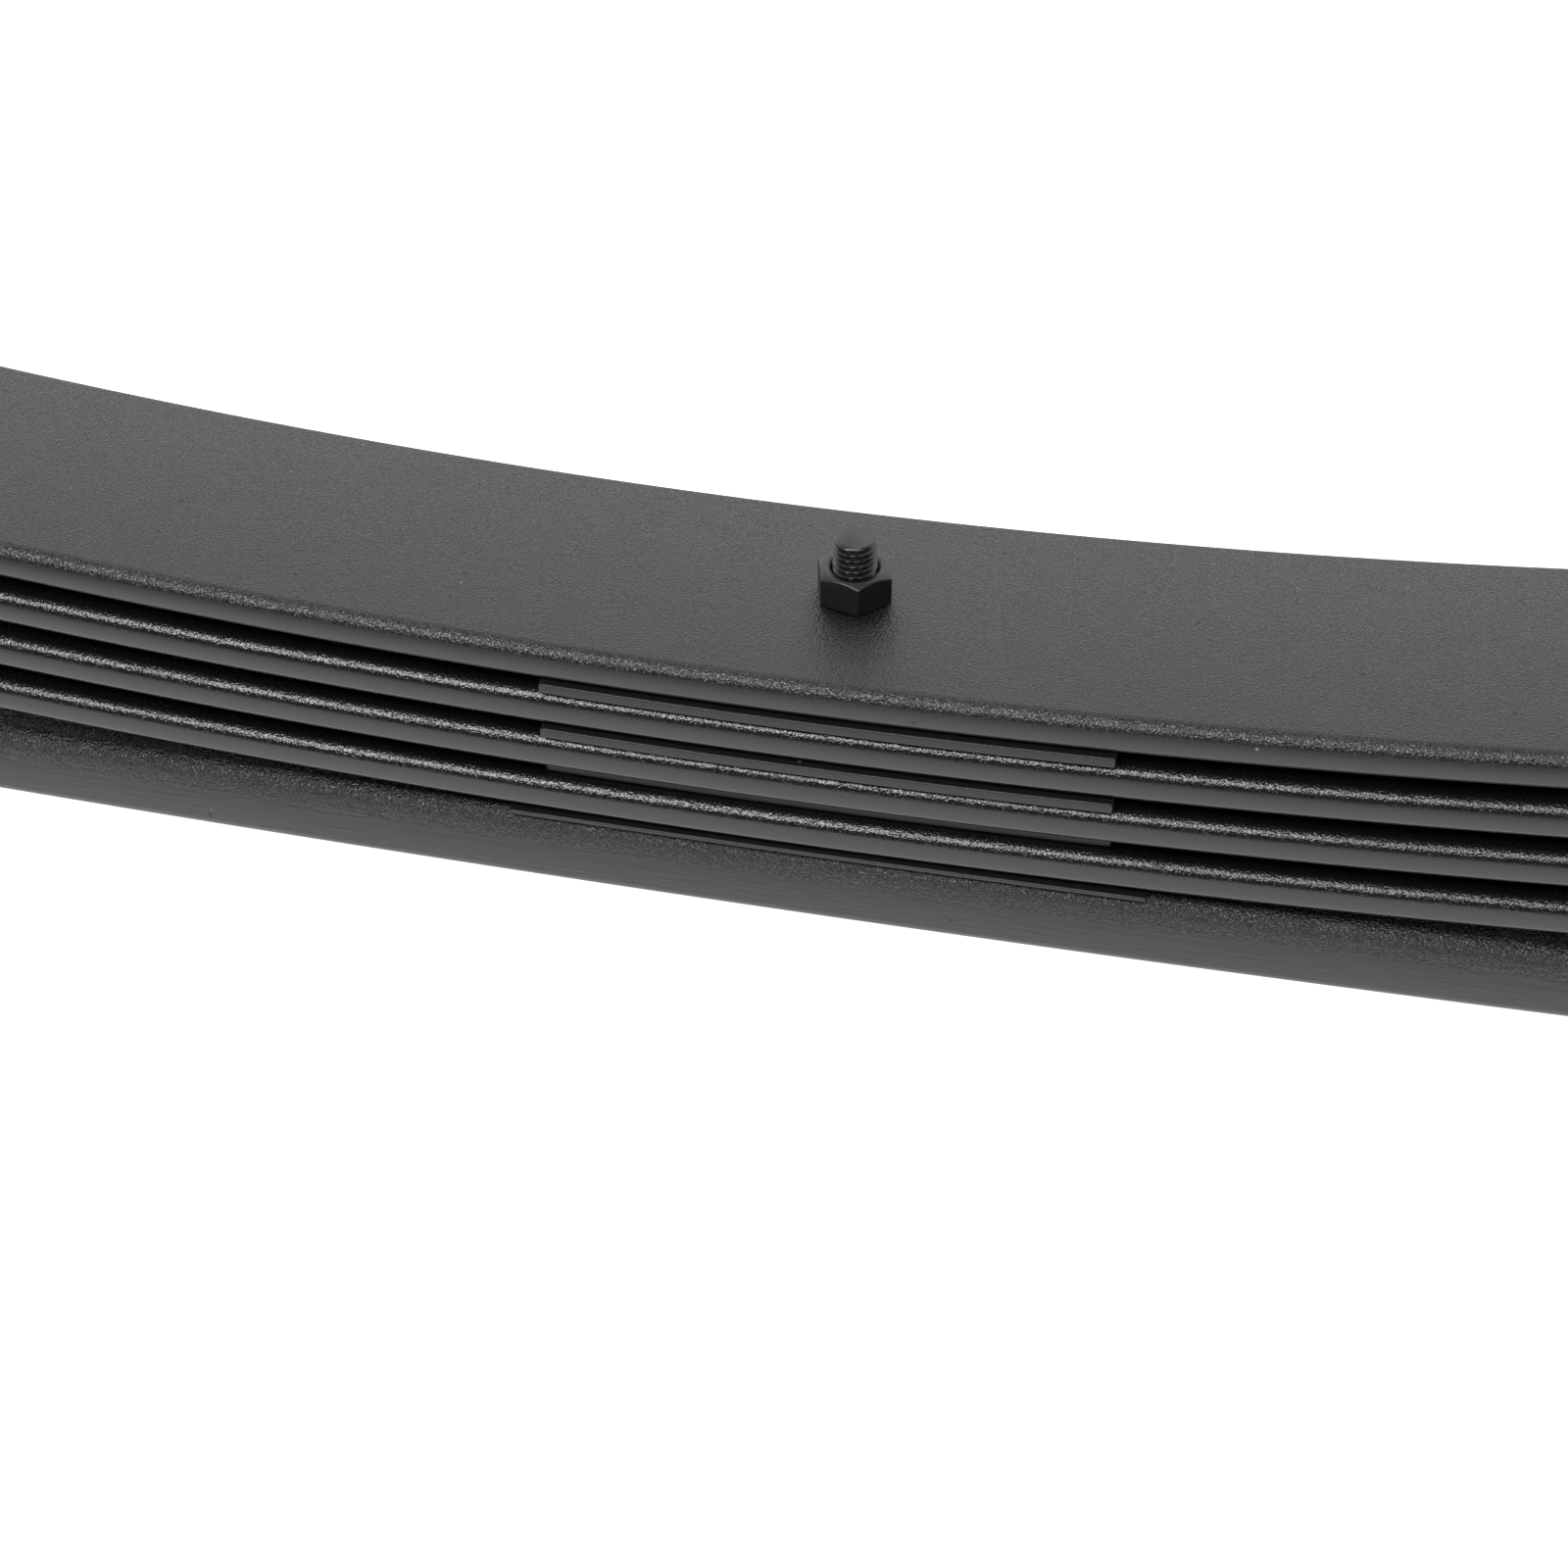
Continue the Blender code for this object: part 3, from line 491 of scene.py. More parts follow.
for number, leaf in enumerate(("main_leaf", "second_leaf", "third_leaf", "fourth_leaf")):
    for side in ("front", "rear"):
        bolt_x, bolt_z = leaf_point(number, side, 0.0, LEAF_THICKNESS / 2)
        holes = [(bolt_x, bolt_z, BOLT_HOLE_DIAMETER / 2, 0.0)]
        path = []
        if number == 0:
            for distance in evenly(0.0, EYE_REACH[side], BAR_STEP):
                path.append((*leaf_point(0, side, distance, LEAF_THICKNESS / 2), 1.0, 1.0))
            path += eye_stations(side)
        else:
            reach = LOWER_REACH[side][number - 1]
            for distance, breadth, depth in bar_stations(
                reach, LEAF_WIDTH, LEAF_THICKNESS, TIP_TRIM_LENGTH, TIP_TRIM_SHARE,
                LEAF_END_ROUNDING,
            ):
                x, z = leaf_point(number, side, distance, LEAF_THICKNESS / 2)
                path.append((x, z, breadth, depth))
            pegs = [reach - PAD_SETBACK - PAD_LENGTH / 2]
            sizes = [PEG_HOLE_RADIUS]
            if number == 2:
                pegs.append(reach - PAD_SETBACK - PAD_LENGTH - CLIP_BEHIND_PAD)
                sizes.append(RIVET_HOLE_RADIUS)
            for distance, radius in zip(pegs, sizes):
                x, z = leaf_point(number, side, distance, LEAF_THICKNESS / 2)
                holes.append((x, z, radius, leaf_slope(number, side, distance)))
        mesh = made_by(
            ROLLED_BAR, leaf, spine_mesh(leaf, path, holes), Width=LEAF_WIDTH,
            Thickness=LEAF_THICKNESS, Edge_radius=LEAF_EDGE_RADIUS,
            Side_crown=LEAF_SIDE_CROWN, Material=LOWER_LEAF_PAINT if number else LEAF_PAINT,
        )
        piece = new_piece(f"{leaf}_{side}", square_at_bolt(mesh), leaf)
        bend_with_limb(piece, side)


# ---- The overload leaf ----
# One much thicker, nearly flat bar under the pack, forged down at its two tips. Its sides are
# left as rolled, so the paint over them is streaked along the bar.

OVERLOAD_THICKNESS = 0.0200
OVERLOAD_EDGE_RADIUS = 0.0040
OVERLOAD_SIDE_CROWN = 0.0011
OVERLOAD_END_ROUNDING = 0.0016
OVERLOAD_RADIUS = 7.000
OVERLOAD_TIP_THICKNESS = 0.0120
OVERLOAD_TAPER_LENGTH = 0.060
OVERLOAD_REACH = {"front": 0.280, "rear": 0.330}
OVERLOAD_TOP_Z = 0.0300


def overload_point(arc, below_top):
    """(x, z) at a depth below the overload leaf's upper face."""
    turn = arc / OVERLOAD_RADIUS
    radius = OVERLOAD_RADIUS + below_top
    return radius * sin(turn), OVERLOAD_TOP_Z + OVERLOAD_RADIUS - radius * cos(turn)


def overload_half(side):
    """From the bolt out: the top keeps its curve and the tip thins from below."""
    reach = OVERLOAD_REACH[side]
    thin = 1 - OVERLOAD_TIP_THICKNESS / OVERLOAD_THICKNESS
    path = []
    for distance, breadth, depth in bar_stations(
        reach, LEAF_WIDTH, OVERLOAD_THICKNESS, OVERLOAD_TAPER_LENGTH, TIP_TRIM_SHARE,
        OVERLOAD_END_ROUNDING,
    ):
        tapered = 1 - thin * max(0.0, 1 - (reach - distance) / OVERLOAD_TAPER_LENGTH)
        below = OVERLOAD_THICKNESS * tapered / 2
        x, z = overload_point(SIDE_SIGN[side] * distance, below)
        path.append((x, z, breadth, depth * tapered))
    return path


OVERLOAD_PAINT = sprayed_paint(
    "Overload paint", PAINT_BLACK, peel_height=0.00040, side_peel=0.08, gloss=0.46,
    tilts=(0.03, 0.12), streaks=0.00022,
)

overload_path = list(reversed(overload_half("rear"))) + overload_half("front")[1:]
bolt_hole = (0.0, OVERLOAD_TOP_Z - OVERLOAD_THICKNESS / 2, BOLT_HOLE_DIAMETER / 2, 0.0)
mesh = made_by(
    ROLLED_BAR, "overload_leaf", spine_mesh("overload_leaf", overload_path, [bolt_hole]),
    Width=LEAF_WIDTH, Thickness=OVERLOAD_THICKNESS, Edge_radius=OVERLOAD_EDGE_RADIUS,
    Side_crown=OVERLOAD_SIDE_CROWN, Material=OVERLOAD_PAINT,
)
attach(new_piece("overload_leaf_bar", mesh, "overload_leaf"), "pack_centre")


# ---- The centre liners ----
# Thin flat plates between the leaves at the axle seat, cut off square and deburred. They keep
# the leaves apart, and each is held only by the bolt through its loose hole.

TOUCH = 0.00025
LINER_LENGTH = 0.1300
LINER_THICKNESS = LINER_SPACE - 2 * TOUCH
LINERS = (
    ("liner_1", LINER_LENGTH, LINER_THICKNESS, -0.0006),
    ("liner_2", LINER_LENGTH, LINER_THICKNESS, -0.0006),
    ("liner_3", LINER_LENGTH, LINER_THICKNESS, 0.0033),
    ("liner_4", 0.1510, 0.0017 - 2 * TOUCH, -0.0003),
)
LINER_WIDTH = LEAF_WIDTH - 0.0012
LINER_HOLE_RADIUS = 0.0087
LINER_END_LENGTH = 0.002
LINER_EDGE_RADIUS = 0.00045
LINER_STEP = 0.006
LINER_PAINT = sprayed_paint(
    "Liner paint", (0.004, 0.004, 0.004), peel_height=0.00006, side_peel=0.35, gloss=0.50
)

for number, (name, length, thickness, shift) in enumerate(LINERS):
    path = []
    for distance, breadth, depth in bar_stations(
        length / 2, LINER_WIDTH, thickness, LINER_END_LENGTH, 1.0, LINER_EDGE_RADIUS, LINER_STEP
    ):
        if number < 3:
            place = leaf_point(number, "front", distance, LEAF_THICKNESS + TOUCH + thickness / 2)
        else:
            place = overload_point(distance, -TOUCH - thickness / 2)
        path.append((*place, breadth, depth))
    mirrored = [(-x, z, breadth, depth) for x, z, breadth, depth in reversed(path[1:])]
    hole = (0.0, path[0][1], LINER_HOLE_RADIUS, 0.0)
    mesh = made_by(
        ROLLED_BAR, name, spine_mesh(name, mirrored + path, [hole]), Width=LINER_WIDTH,
        Thickness=thickness, Edge_radius=LINER_EDGE_RADIUS, Side_crown=0.0,
        Material=LINER_PAINT,
    )
    mesh.transform(Matrix.Translation((0, shift, 0)))
    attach(new_piece(name + "_plate", mesh, name), "pack_centre")


# ---- The centre bolt ----
# A cold headed steel bolt up through the whole pack: a round head that locates the spring in
# the axle seat, and a rolled thread above, cut off flat and painted over with the leaves.

BOLT_END_ABOVE_LEAF = 0.0157
BOLT_PITCH = 0.0015
BOLT_HEAD_DIAMETER = 0.0164
BOLT_HEAD_HEIGHT = 0.0100
BOLT_HEAD_CHAMFER = 0.0012
BOLT_POINT = 0.0007
BOLT_THREAD_RINGS = 190
THREAD_BELOW_LEAF = 0.004
THREAD_OVERLAP = 0.0005
THREAD_CREST_SHARE = 0.06
THREAD_FLANK_SHARE = 0.74
THREAD_DEPTH_SHARE = 0.68
THREAD_SIDES = 72


def threaded_rod_tree():
    """A closed rod with a right-hand thread of round-rooted teeth and a coned point."""
    graph, given = geometry_tree("Threaded rod", (
        ("Geometry", "Geometry"), ("Diameter", "Float"), ("Pitch", "Float"),
        ("Length", "Float"), ("Point", "Float"), ("Rings", "Int"), ("Material", "Material"),
    ))
    radius, pitch = given("Diameter") / 2, given("Pitch")
    rod = graph.node(
        "GeometryNodeMeshCylinder", {"fill_type": "NGON"},
        {"Vertices": THREAD_SIDES, "Side Segments": given("Rings"), "Radius": radius,
         "Depth": given("Length")},
    )
    x, y, z = graph.node("GeometryNodeInputPosition").split()
    turn = x.maths("ARCTAN2", y, x) / (2 * pi)
    swing = abs(2 * (z / pitch - turn).part() - 1)
    groove = ((swing - THREAD_CREST_SHARE) / THREAD_FLANK_SHARE).at_least(0.0).at_most(1.0)
    coned = radius - given("Point") + given("Length") / 2 - z
    share = (radius - THREAD_DEPTH_SHARE * pitch * groove).at_most(coned) / radius
    rod = graph.node(
        "GeometryNodeSetPosition", {},
        {"Geometry": rod, "Position": graph.vector(x * share, y * share, z)},
    )
    return close_tree(graph, given, rod)


def closed_mesh(name, shell):
    """The mesh of a finished shell, its faces turned outwards."""
    bmesh.ops.recalc_face_normals(shell, faces=shell.faces)
    mesh = bpy.data.meshes.new(name)
    shell.to_mesh(mesh)
    shell.free()
    return mesh


def turned(name, profile, steps=64, closed=False):
    """A mesh turned about Z from (radius, height) points; closed joins the last to the first."""
    shell = bmesh.new()
    rings = []
    for radius, height in profile:
        if radius < 1e-7:
            rings.append([shell.verts.new((0.0, 0.0, height))])
            continue
        turns = [2 * pi * step / steps for step in range(steps)]
        rings.append([shell.verts.new((radius * cos(t), radius * sin(t), height)) for t in turns])
    pairs = list(zip(rings, rings[1:])) + ([(rings[-1], rings[0])] if closed else [])
    for first, second in pairs:
        for step in range(steps):
            after = (step + 1) % steps
            corners = [first[step % len(first)], first[after % len(first)]]
            corners += [second[after % len(second)], second[step % len(second)]]
            shell.faces.new(list(dict.fromkeys(corners)))
    return closed_mesh(name, shell)


def softened(mesh, width, segments=3, angle=30):
    """The mesh with its sharp edges rounded."""
    holder = in_scene(mesh.name, mesh)
    bevel = holder.modifiers.new("Soften", "BEVEL")
    bevel.width, bevel.segments = width, segments
    bevel.limit_method, bevel.angle_limit = "ANGLE", radians(angle)
    return plain_mesh(holder)


def joined(name, meshes, material):
    """Several meshes in one, all in one material and smooth."""
    shell = bmesh.new()
    for mesh in meshes:
        shell.from_mesh(mesh)
    for face in shell.faces:
        face.material_index = 0
        face.smooth = True
    whole = bpy.data.meshes.new(name)
    shell.to_mesh(whole)
    shell.free()
    whole.materials.append(material)
    return whole


THREADED_ROD = threaded_rod_tree()
FASTENER_PAINT = sprayed_paint(
    "Fastener paint", PAINT_BLACK, peel_height=0.00003, side_peel=0.5, gloss=0.36
)

thread_length = BOLT_END_ABOVE_LEAF + THREAD_BELOW_LEAF
thread = made_by(
    THREADED_ROD, "centre_bolt", bpy.data.meshes.new("centre_bolt"), Diameter=BOLT_DIAMETER,
    Pitch=BOLT_PITCH, Length=thread_length, Point=BOLT_POINT, Rings=BOLT_THREAD_RINGS,
    Material=FASTENER_PAINT,
)
thread_bottom = MAIN_TOP_Z + BOLT_END_ABOVE_LEAF - thread_length
thread.transform(Matrix.Translation((0, 0, thread_bottom + thread_length / 2)))
head_radius, head_top = BOLT_HEAD_DIAMETER / 2, BOLT_HEAD_HEIGHT - TOUCH
shank_radius, shank_top = BOLT_DIAMETER / 2 - 0.0001, thread_bottom + THREAD_OVERLAP
shank = turned("centre_bolt_shank", [
    (0.0, shank_top), (shank_radius, shank_top), (shank_radius, head_top),
    (head_radius, head_top), (head_radius, BOLT_HEAD_CHAMFER),
    (head_radius - BOLT_HEAD_CHAMFER, 0.0), (0.0, 0.0),
])
mesh = joined("centre_bolt", [thread, softened(shank, 0.0004)], FASTENER_PAINT)
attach(new_piece("centre_bolt_rod", mesh, "centre_bolt", 40), "pack_centre")


# ---- The centre nut ----
# A cold forged hex nut with a wide turned chamfer and a countersunk thread, run down onto the
# main leaf. It is painted with the spring, thinly at its corners.

NUT_ACROSS_FLATS = 0.0164
NUT_HEIGHT = 0.0080
NUT_FACE_DIAMETER = 0.0152
NUT_CORNER_DROP = 0.0012
NUT_TURN = radians(-74.5)
THREAD_CLEARANCE = 0.0003
NUT_SINK = 0.0010
HEX_SOFTENING = 0.00025


def hex_ring(across_flats, turn, steps=12):
    """(angle, radius) round a hexagon, with a point on each corner."""
    points = []
    for step in range(6 * steps):
        angle = radians(60) * step / steps
        within = angle % radians(60) - radians(30)
        points.append((angle + turn, across_flats / 2 / cos(within)))
    return points


def hex_body(name, across_flats, height, face_radius, corner_drop, turn, bore=0.0, sink=0.0):
    """A hex prism from z=0 up, its top corners turned off to a cone; drilled if it has a bore."""
    outline = hex_ring(across_flats, turn)
    corner = across_flats / 2 / cos(radians(30))
    fall = corner_drop / (corner - face_radius)
    levels = []
    if bore:
        levels.append([(bore, 0.0)] * len(outline))
        levels.append([(bore, height - (sink - bore))] * len(outline))
        levels.append([(sink, height)] * len(outline))
    levels.append([(face_radius, height)] * len(outline))
    levels.append([(radius, height - fall * (radius - face_radius)) for _, radius in outline])
    levels.append([(radius, 0.0) for _, radius in outline])
    shell = bmesh.new()
    rings = []
    for level in levels:
        ring = []
        for (angle, _), (radius, z) in zip(outline, level):
            ring.append(shell.verts.new((radius * cos(angle), radius * sin(angle), z)))
        rings.append(ring)
    pairs = list(zip(rings, rings[1:]))
    if bore:
        pairs.append((rings[-1], rings[0]))
    else:
        shell.faces.new(rings[0])
        shell.faces.new(rings[-1])
    for first, second in pairs:
        for at in range(len(outline)):
            after = (at + 1) % len(outline)
            shell.faces.new((first[at], first[after], second[after], second[at]))
    return closed_mesh(name, shell)


nut = hex_body(
    "centre_nut", NUT_ACROSS_FLATS, NUT_HEIGHT, NUT_FACE_DIAMETER / 2, NUT_CORNER_DROP, NUT_TURN,
    bore=BOLT_DIAMETER / 2 + THREAD_CLEARANCE, sink=BOLT_DIAMETER / 2 + NUT_SINK,
)
nut = joined("centre_nut", [softened(nut, HEX_SOFTENING)], FASTENER_PAINT)
nut.transform(Matrix.Translation((0, 0, MAIN_TOP_Z + TOUCH)))
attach(new_piece("centre_nut_hex", nut, "centre_nut", 40), "pack_centre")


# ---- The eye bushes ----
# In each eye a steel outer sleeve is pressed in, with a rubber ring bonded between it and the
# inner sleeve, which stands out at both sides and is clamped by the hanger's or shackle's bolt.

SLEEVE_OUTER_RADIUS = 0.02190
SLEEVE_BORE_RADIUS = 0.01975
BUSH_LENGTH = LEAF_WIDTH - 0.0022
RUBBER_LENGTH = LEAF_WIDTH + 0.0008
INNER_SLEEVE_RADIUS = 0.0120
INNER_BORE_RADIUS = 0.00815
INNER_SLEEVE_LENGTH = LEAF_WIDTH + 0.0058
SLEEVE_SOFTENING = 0.0004
INNER_SLEEVE_SOFTENING = 0.0006
RUBBER_DISH = 0.0022
BUSH_SIDES = 96
PLATED_GREY = (0.42, 0.42, 0.41, 1.0)
STAIN_BROWN = (0.25, 0.235, 0.21, 1.0)
TURNING_BRIGHT = (0.60, 0.60, 0.59, 1.0)


def turned_steel(name, middles):
    """Bright plated steel with the fine rings of its turning, about each given (x, z)."""
    material, graph, where = new_material(name)
    x, y, z = where.split()
    (front_x, front_z), (rear_x, rear_z) = middles
    at_front = x > 0.0
    from_x = x - (rear_x + (front_x - rear_x) * at_front)
    from_z = z - (rear_z + (front_z - rear_z) * at_front)
    out = (from_x * from_x + from_z * from_z) ** 0.5
    rings = graph.noise(graph.vector(out * 5200.0, y * 900.0, 0.0), 1.0, 2.0, 0.6)
    stain = graph.noise(where, 70.0, 5.0, 0.7)
    speck = graph.noise(where, 900.0, 2.0, 0.6)
    colour = graph.mix(stain.ramp(0.35, 0.75), PLATED_GREY, STAIN_BROWN)
    colour = graph.mix(rings * 0.35, colour, TURNING_BRIGHT)
    roughness = 0.30 + 0.22 * stain + 0.12 * (rings - 0.5)
    shader = feed_shader(graph, colour, roughness, rings * 0.000012 + speck * 0.000010)
    shader.inputs["Metallic"].default_value = 1.0
    return material


def moulded(name, tone, bloom, grain, gloss):
    """Moulded black rubber or plastic: spark-textured, with a dusty bloom in patches."""
    material, graph, where = new_material(name)
    cloud = graph.noise(where, 55.0, 5.0, 0.65)
    spark = graph.noise(where, 1600.0, 3.0, 0.6)
    colour = graph.mix(cloud.ramp(0.42, 0.72), tone, bloom)
    colour = graph.mix(spark.ramp(0.55, 0.75) * 0.35, colour, bloom)
    roughness = gloss + 0.18 * (cloud - 0.5) + 0.10 * (spark - 0.5)
    feed_shader(graph, colour, roughness, spark * grain + cloud * 0.00004)
    return material


eye_middles = {
    side: pack_point(SIDE_SIGN[side] * EYE_REACH[side], -EYE_BORE_RADIUS)
    for side in ("front", "rear")
}
SLEEVE_STEEL = turned_steel("Sleeve steel", (eye_middles["front"], eye_middles["rear"]))
BUSH_RUBBER = moulded(
    "Bush rubber", (0.012, 0.012, 0.012, 1.0), (0.035, 0.034, 0.033, 1.0), grain=0.00004,
    gloss=0.62,
)

for side, (eye_x, eye_z) in eye_middles.items():
    across = Matrix.Translation((eye_x, 0, eye_z)) @ Matrix.Rotation(pi / 2, 4, "X")
    half = BUSH_LENGTH / 2
    sleeve = turned(f"{side}_bush_sleeve", [
        (SLEEVE_OUTER_RADIUS, half), (SLEEVE_OUTER_RADIUS, -half),
        (SLEEVE_BORE_RADIUS, -half), (SLEEVE_BORE_RADIUS, half),
    ], BUSH_SIDES, closed=True)
    sleeve = joined(sleeve.name, [softened(sleeve, SLEEVE_SOFTENING)], SLEEVE_STEEL)
    sleeve.transform(across)
    piece = new_piece(f"{side}_bush_sleeve_tube", sleeve, f"{side}_bush_sleeve")
    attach(piece, f"{side}_limb")

    outer, inner = SLEEVE_BORE_RADIUS - 0.0001, INNER_SLEEVE_RADIUS + 0.0002
    half = RUBBER_LENGTH / 2
    profile = []
    for end in (1, -1):
        face = []
        for step in range(13):
            share = step / 12
            dish = RUBBER_DISH * sin(pi * share) ** 0.7
            face.append((inner + (outer - inner) * share, end * (half - dish)))
        profile += face if end > 0 else list(reversed(face))
    ring = turned("rubber", profile, BUSH_SIDES, closed=True)
    rubber = joined("rubber", [ring], BUSH_RUBBER)
    rubber.transform(across)
    piece = new_piece(f"{side}_bush_rubber_ring", rubber, f"{side}_bush_rubber", 50)
    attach(piece, f"{side}_limb")

    half = INNER_SLEEVE_LENGTH / 2
    tube = turned(f"{side}_inner_sleeve", [
        (INNER_SLEEVE_RADIUS, half), (INNER_SLEEVE_RADIUS, -half),
        (INNER_BORE_RADIUS, -half), (INNER_BORE_RADIUS, half),
    ], BUSH_SIDES, closed=True)
    tube = joined(tube.name, [softened(tube, INNER_SLEEVE_SOFTENING)], SLEEVE_STEEL)
    tube.transform(across)
    piece = new_piece(f"{side}_inner_sleeve_tube", tube, f"{side}_inner_sleeve")
    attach(piece, f"{side}_sleeve")


# ---- The rebound clips ----
# A flat steel strap bent to a U round the upper three leaves and riveted under the third. A
# cross bolt through a spacer tube closes it over the main leaf, with its nut at the far side.

STRAP_WIDTH = 0.0250
STRAP_THICKNESS = 0.0050
STRAP_BEND_RADIUS = 0.0040
STRAP_INSIDE = LEAF_WIDTH / 2 + 0.0012
STRAP_CORNER = 0.0060
CLIP_BOLT_RISE = 0.0110
STRAP_ABOVE_BOLT = 0.0090
STRAP_EDGE_RADIUS = 0.0009
CLIP_BOLT_RADIUS = 0.0040
CLIP_BOLT_HOLE_RADIUS = 0.0044
CLIP_SHANK_RADIUS = 0.0039
CLIP_PITCH = 0.00125
CLIP_POINT = 0.0008
CLIP_THREAD_RINGS = 100
CLIP_HEX = 0.0130
CLIP_FACE_RADIUS = 0.46 * CLIP_HEX
CLIP_CORNER_DROP = 0.07 * CLIP_HEX
CLIP_HEAD_HEIGHT = 0.0055
CLIP_NUT_HEIGHT = 0.0065
CLIP_STICK_OUT = 0.0030
CLIP_NUT_SINK = 0.0009
SPACER_RADIUS = 0.0075
SPACER_BORE_RADIUS = 0.0045
RIVET_RADIUS = 0.0040
RIVET_HEAD_RADIUS = 0.0070
RIVET_DOME_HEIGHT = 0.0035
RIVET_CAP_HEIGHT = 0.0018
CLIP_SOFTENING = 0.0004
CLIP_SIDES = 48


def strap_path(height):
    """(x, z, breadth, depth) round a U whose ends have rounded corners."""
    middle = STRAP_INSIDE + STRAP_THICKNESS / 2
    bend = STRAP_BEND_RADIUS + STRAP_THICKNESS / 2
    arm = []
    for quarter in range(0, 91, 10):
        drop = STRAP_CORNER * (1 - cos(radians(quarter)))
        inset = STRAP_CORNER * (1 - sin(radians(quarter)))
        arm.append((middle, height - drop, 1 - 2 * inset / STRAP_WIDTH, 1.0))
    for z in evenly(height - STRAP_CORNER, STRAP_BEND_RADIUS, 0.004)[1:]:
        arm.append((middle, z, 1.0, 1.0))
    for quarter in range(10, 91, 10):
        x = STRAP_INSIDE - STRAP_BEND_RADIUS + bend * cos(radians(quarter))
        arm.append((x, STRAP_BEND_RADIUS - bend * sin(radians(quarter)), 1.0, 1.0))
    for x in evenly(STRAP_INSIDE - STRAP_BEND_RADIUS, 0.0, 0.006)[1:]:
        arm.append((x, -STRAP_THICKNESS / 2, 1.0, 1.0))
    return arm + [(-x, z, breadth, depth) for x, z, breadth, depth in reversed(arm[:-1])]


for side in ("front", "rear"):
    distance = LOWER_REACH[side][1] - PAD_SETBACK - PAD_LENGTH - CLIP_BEHIND_PAD
    below = LEAF_THICKNESS + TOUCH
    base_x, base_z = leaf_point(2, side, distance, below)
    clip = Matrix.Translation((base_x, 0, base_z))
    clip @= Matrix.Rotation(-leaf_slope(2, side, distance), 4, "Y")
    pack_height = leaf_top_depth(2, side, distance) + below
    bolt_z = pack_height + CLIP_BOLT_RISE

    path = strap_path(bolt_z + STRAP_ABOVE_BOLT)
    holes = [(0.0, 0.0, RIVET_HOLE_RADIUS, 0.0), (0.0, bolt_z, CLIP_BOLT_HOLE_RADIUS, pi / 2)]
    strap = made_by(
        ROLLED_BAR, "strap", spine_mesh("strap", path, holes), Width=STRAP_WIDTH,
        Thickness=STRAP_THICKNESS, Edge_radius=STRAP_EDGE_RADIUS, Side_crown=0.0,
        Material=LEAF_PAINT,
    )
    strap.transform(clip @ Matrix.Rotation(pi / 2, 4, "Z"))
    piece = new_piece(f"{side}_clip_strap_bar", strap, f"{side}_clip_strap")
    bend_with_limb(piece, side)

    top, bottom = below + TOUCH, -STRAP_THICKNESS - TOUCH
    dome = [(0.0, bottom - RIVET_DOME_HEIGHT)]
    for step in range(1, 9):
        turn = radians(90 * step / 8)
        dome.append((RIVET_HEAD_RADIUS * sin(turn), bottom - RIVET_DOME_HEIGHT * cos(turn)))
    cap_top = top + RIVET_CAP_HEIGHT
    cap = [(RIVET_HEAD_RADIUS, top), (RIVET_HEAD_RADIUS * 0.8, cap_top), (0.0, cap_top)]
    rivet = turned("rivet", dome + [(RIVET_RADIUS, bottom), (RIVET_RADIUS, top)] + cap, CLIP_SIDES)
    rivet = joined("rivet", [softened(rivet, CLIP_SOFTENING)], FASTENER_PAINT)
    rivet.transform(clip)
    piece = new_piece(f"{side}_clip_rivet_solid", rivet, f"{side}_clip_rivet")
    bend_with_limb(piece, side)

    across = clip @ Matrix.Translation((0, 0, bolt_z)) @ Matrix.Rotation(pi / 2, 4, "X")
    half = STRAP_INSIDE - TOUCH
    tube = turned("spacer", [
        (SPACER_RADIUS, half), (SPACER_RADIUS, -half),
        (SPACER_BORE_RADIUS, -half), (SPACER_BORE_RADIUS, half),
    ], CLIP_SIDES, closed=True)
    tube = joined("spacer", [softened(tube, CLIP_SOFTENING)], FASTENER_PAINT)
    tube.transform(across)
    piece = new_piece(f"{side}_clip_spacer_tube", tube, f"{side}_clip_spacer")
    bend_with_limb(piece, side)

    arm_face = STRAP_INSIDE + STRAP_THICKNESS + TOUCH
    head = hex_body("head", CLIP_HEX, CLIP_HEAD_HEIGHT, CLIP_FACE_RADIUS, CLIP_CORNER_DROP, 0.0)
    head = softened(head, HEX_SOFTENING)
    head.transform(Matrix.Translation((0, 0, arm_face)))
    far_end = -arm_face - CLIP_NUT_HEIGHT - CLIP_STICK_OUT
    thread_length = CLIP_NUT_HEIGHT + CLIP_STICK_OUT + 0.006
    thread = made_by(
        THREADED_ROD, "thread", bpy.data.meshes.new("thread"), Diameter=2 * CLIP_BOLT_RADIUS,
        Pitch=CLIP_PITCH, Length=thread_length, Point=CLIP_POINT, Rings=CLIP_THREAD_RINGS,
        Material=FASTENER_PAINT,
    )
    thread.transform(Matrix.Rotation(pi, 4, "X"))
    thread.transform(Matrix.Translation((0, 0, far_end + thread_length / 2)))
    shank_start, shank_end = arm_face + 0.001, far_end + thread_length - THREAD_OVERLAP
    shank = turned("shank", [
        (0.0, shank_start), (CLIP_SHANK_RADIUS, shank_start),
        (CLIP_SHANK_RADIUS, shank_end), (0.0, shank_end),
    ], CLIP_SIDES)
    bolt = joined("clip_bolt", [head, thread, shank], FASTENER_PAINT)
    bolt.transform(across)
    piece = new_piece(f"{side}_clip_bolt_hex", bolt, f"{side}_clip_bolt", 40)
    bend_with_limb(piece, side)

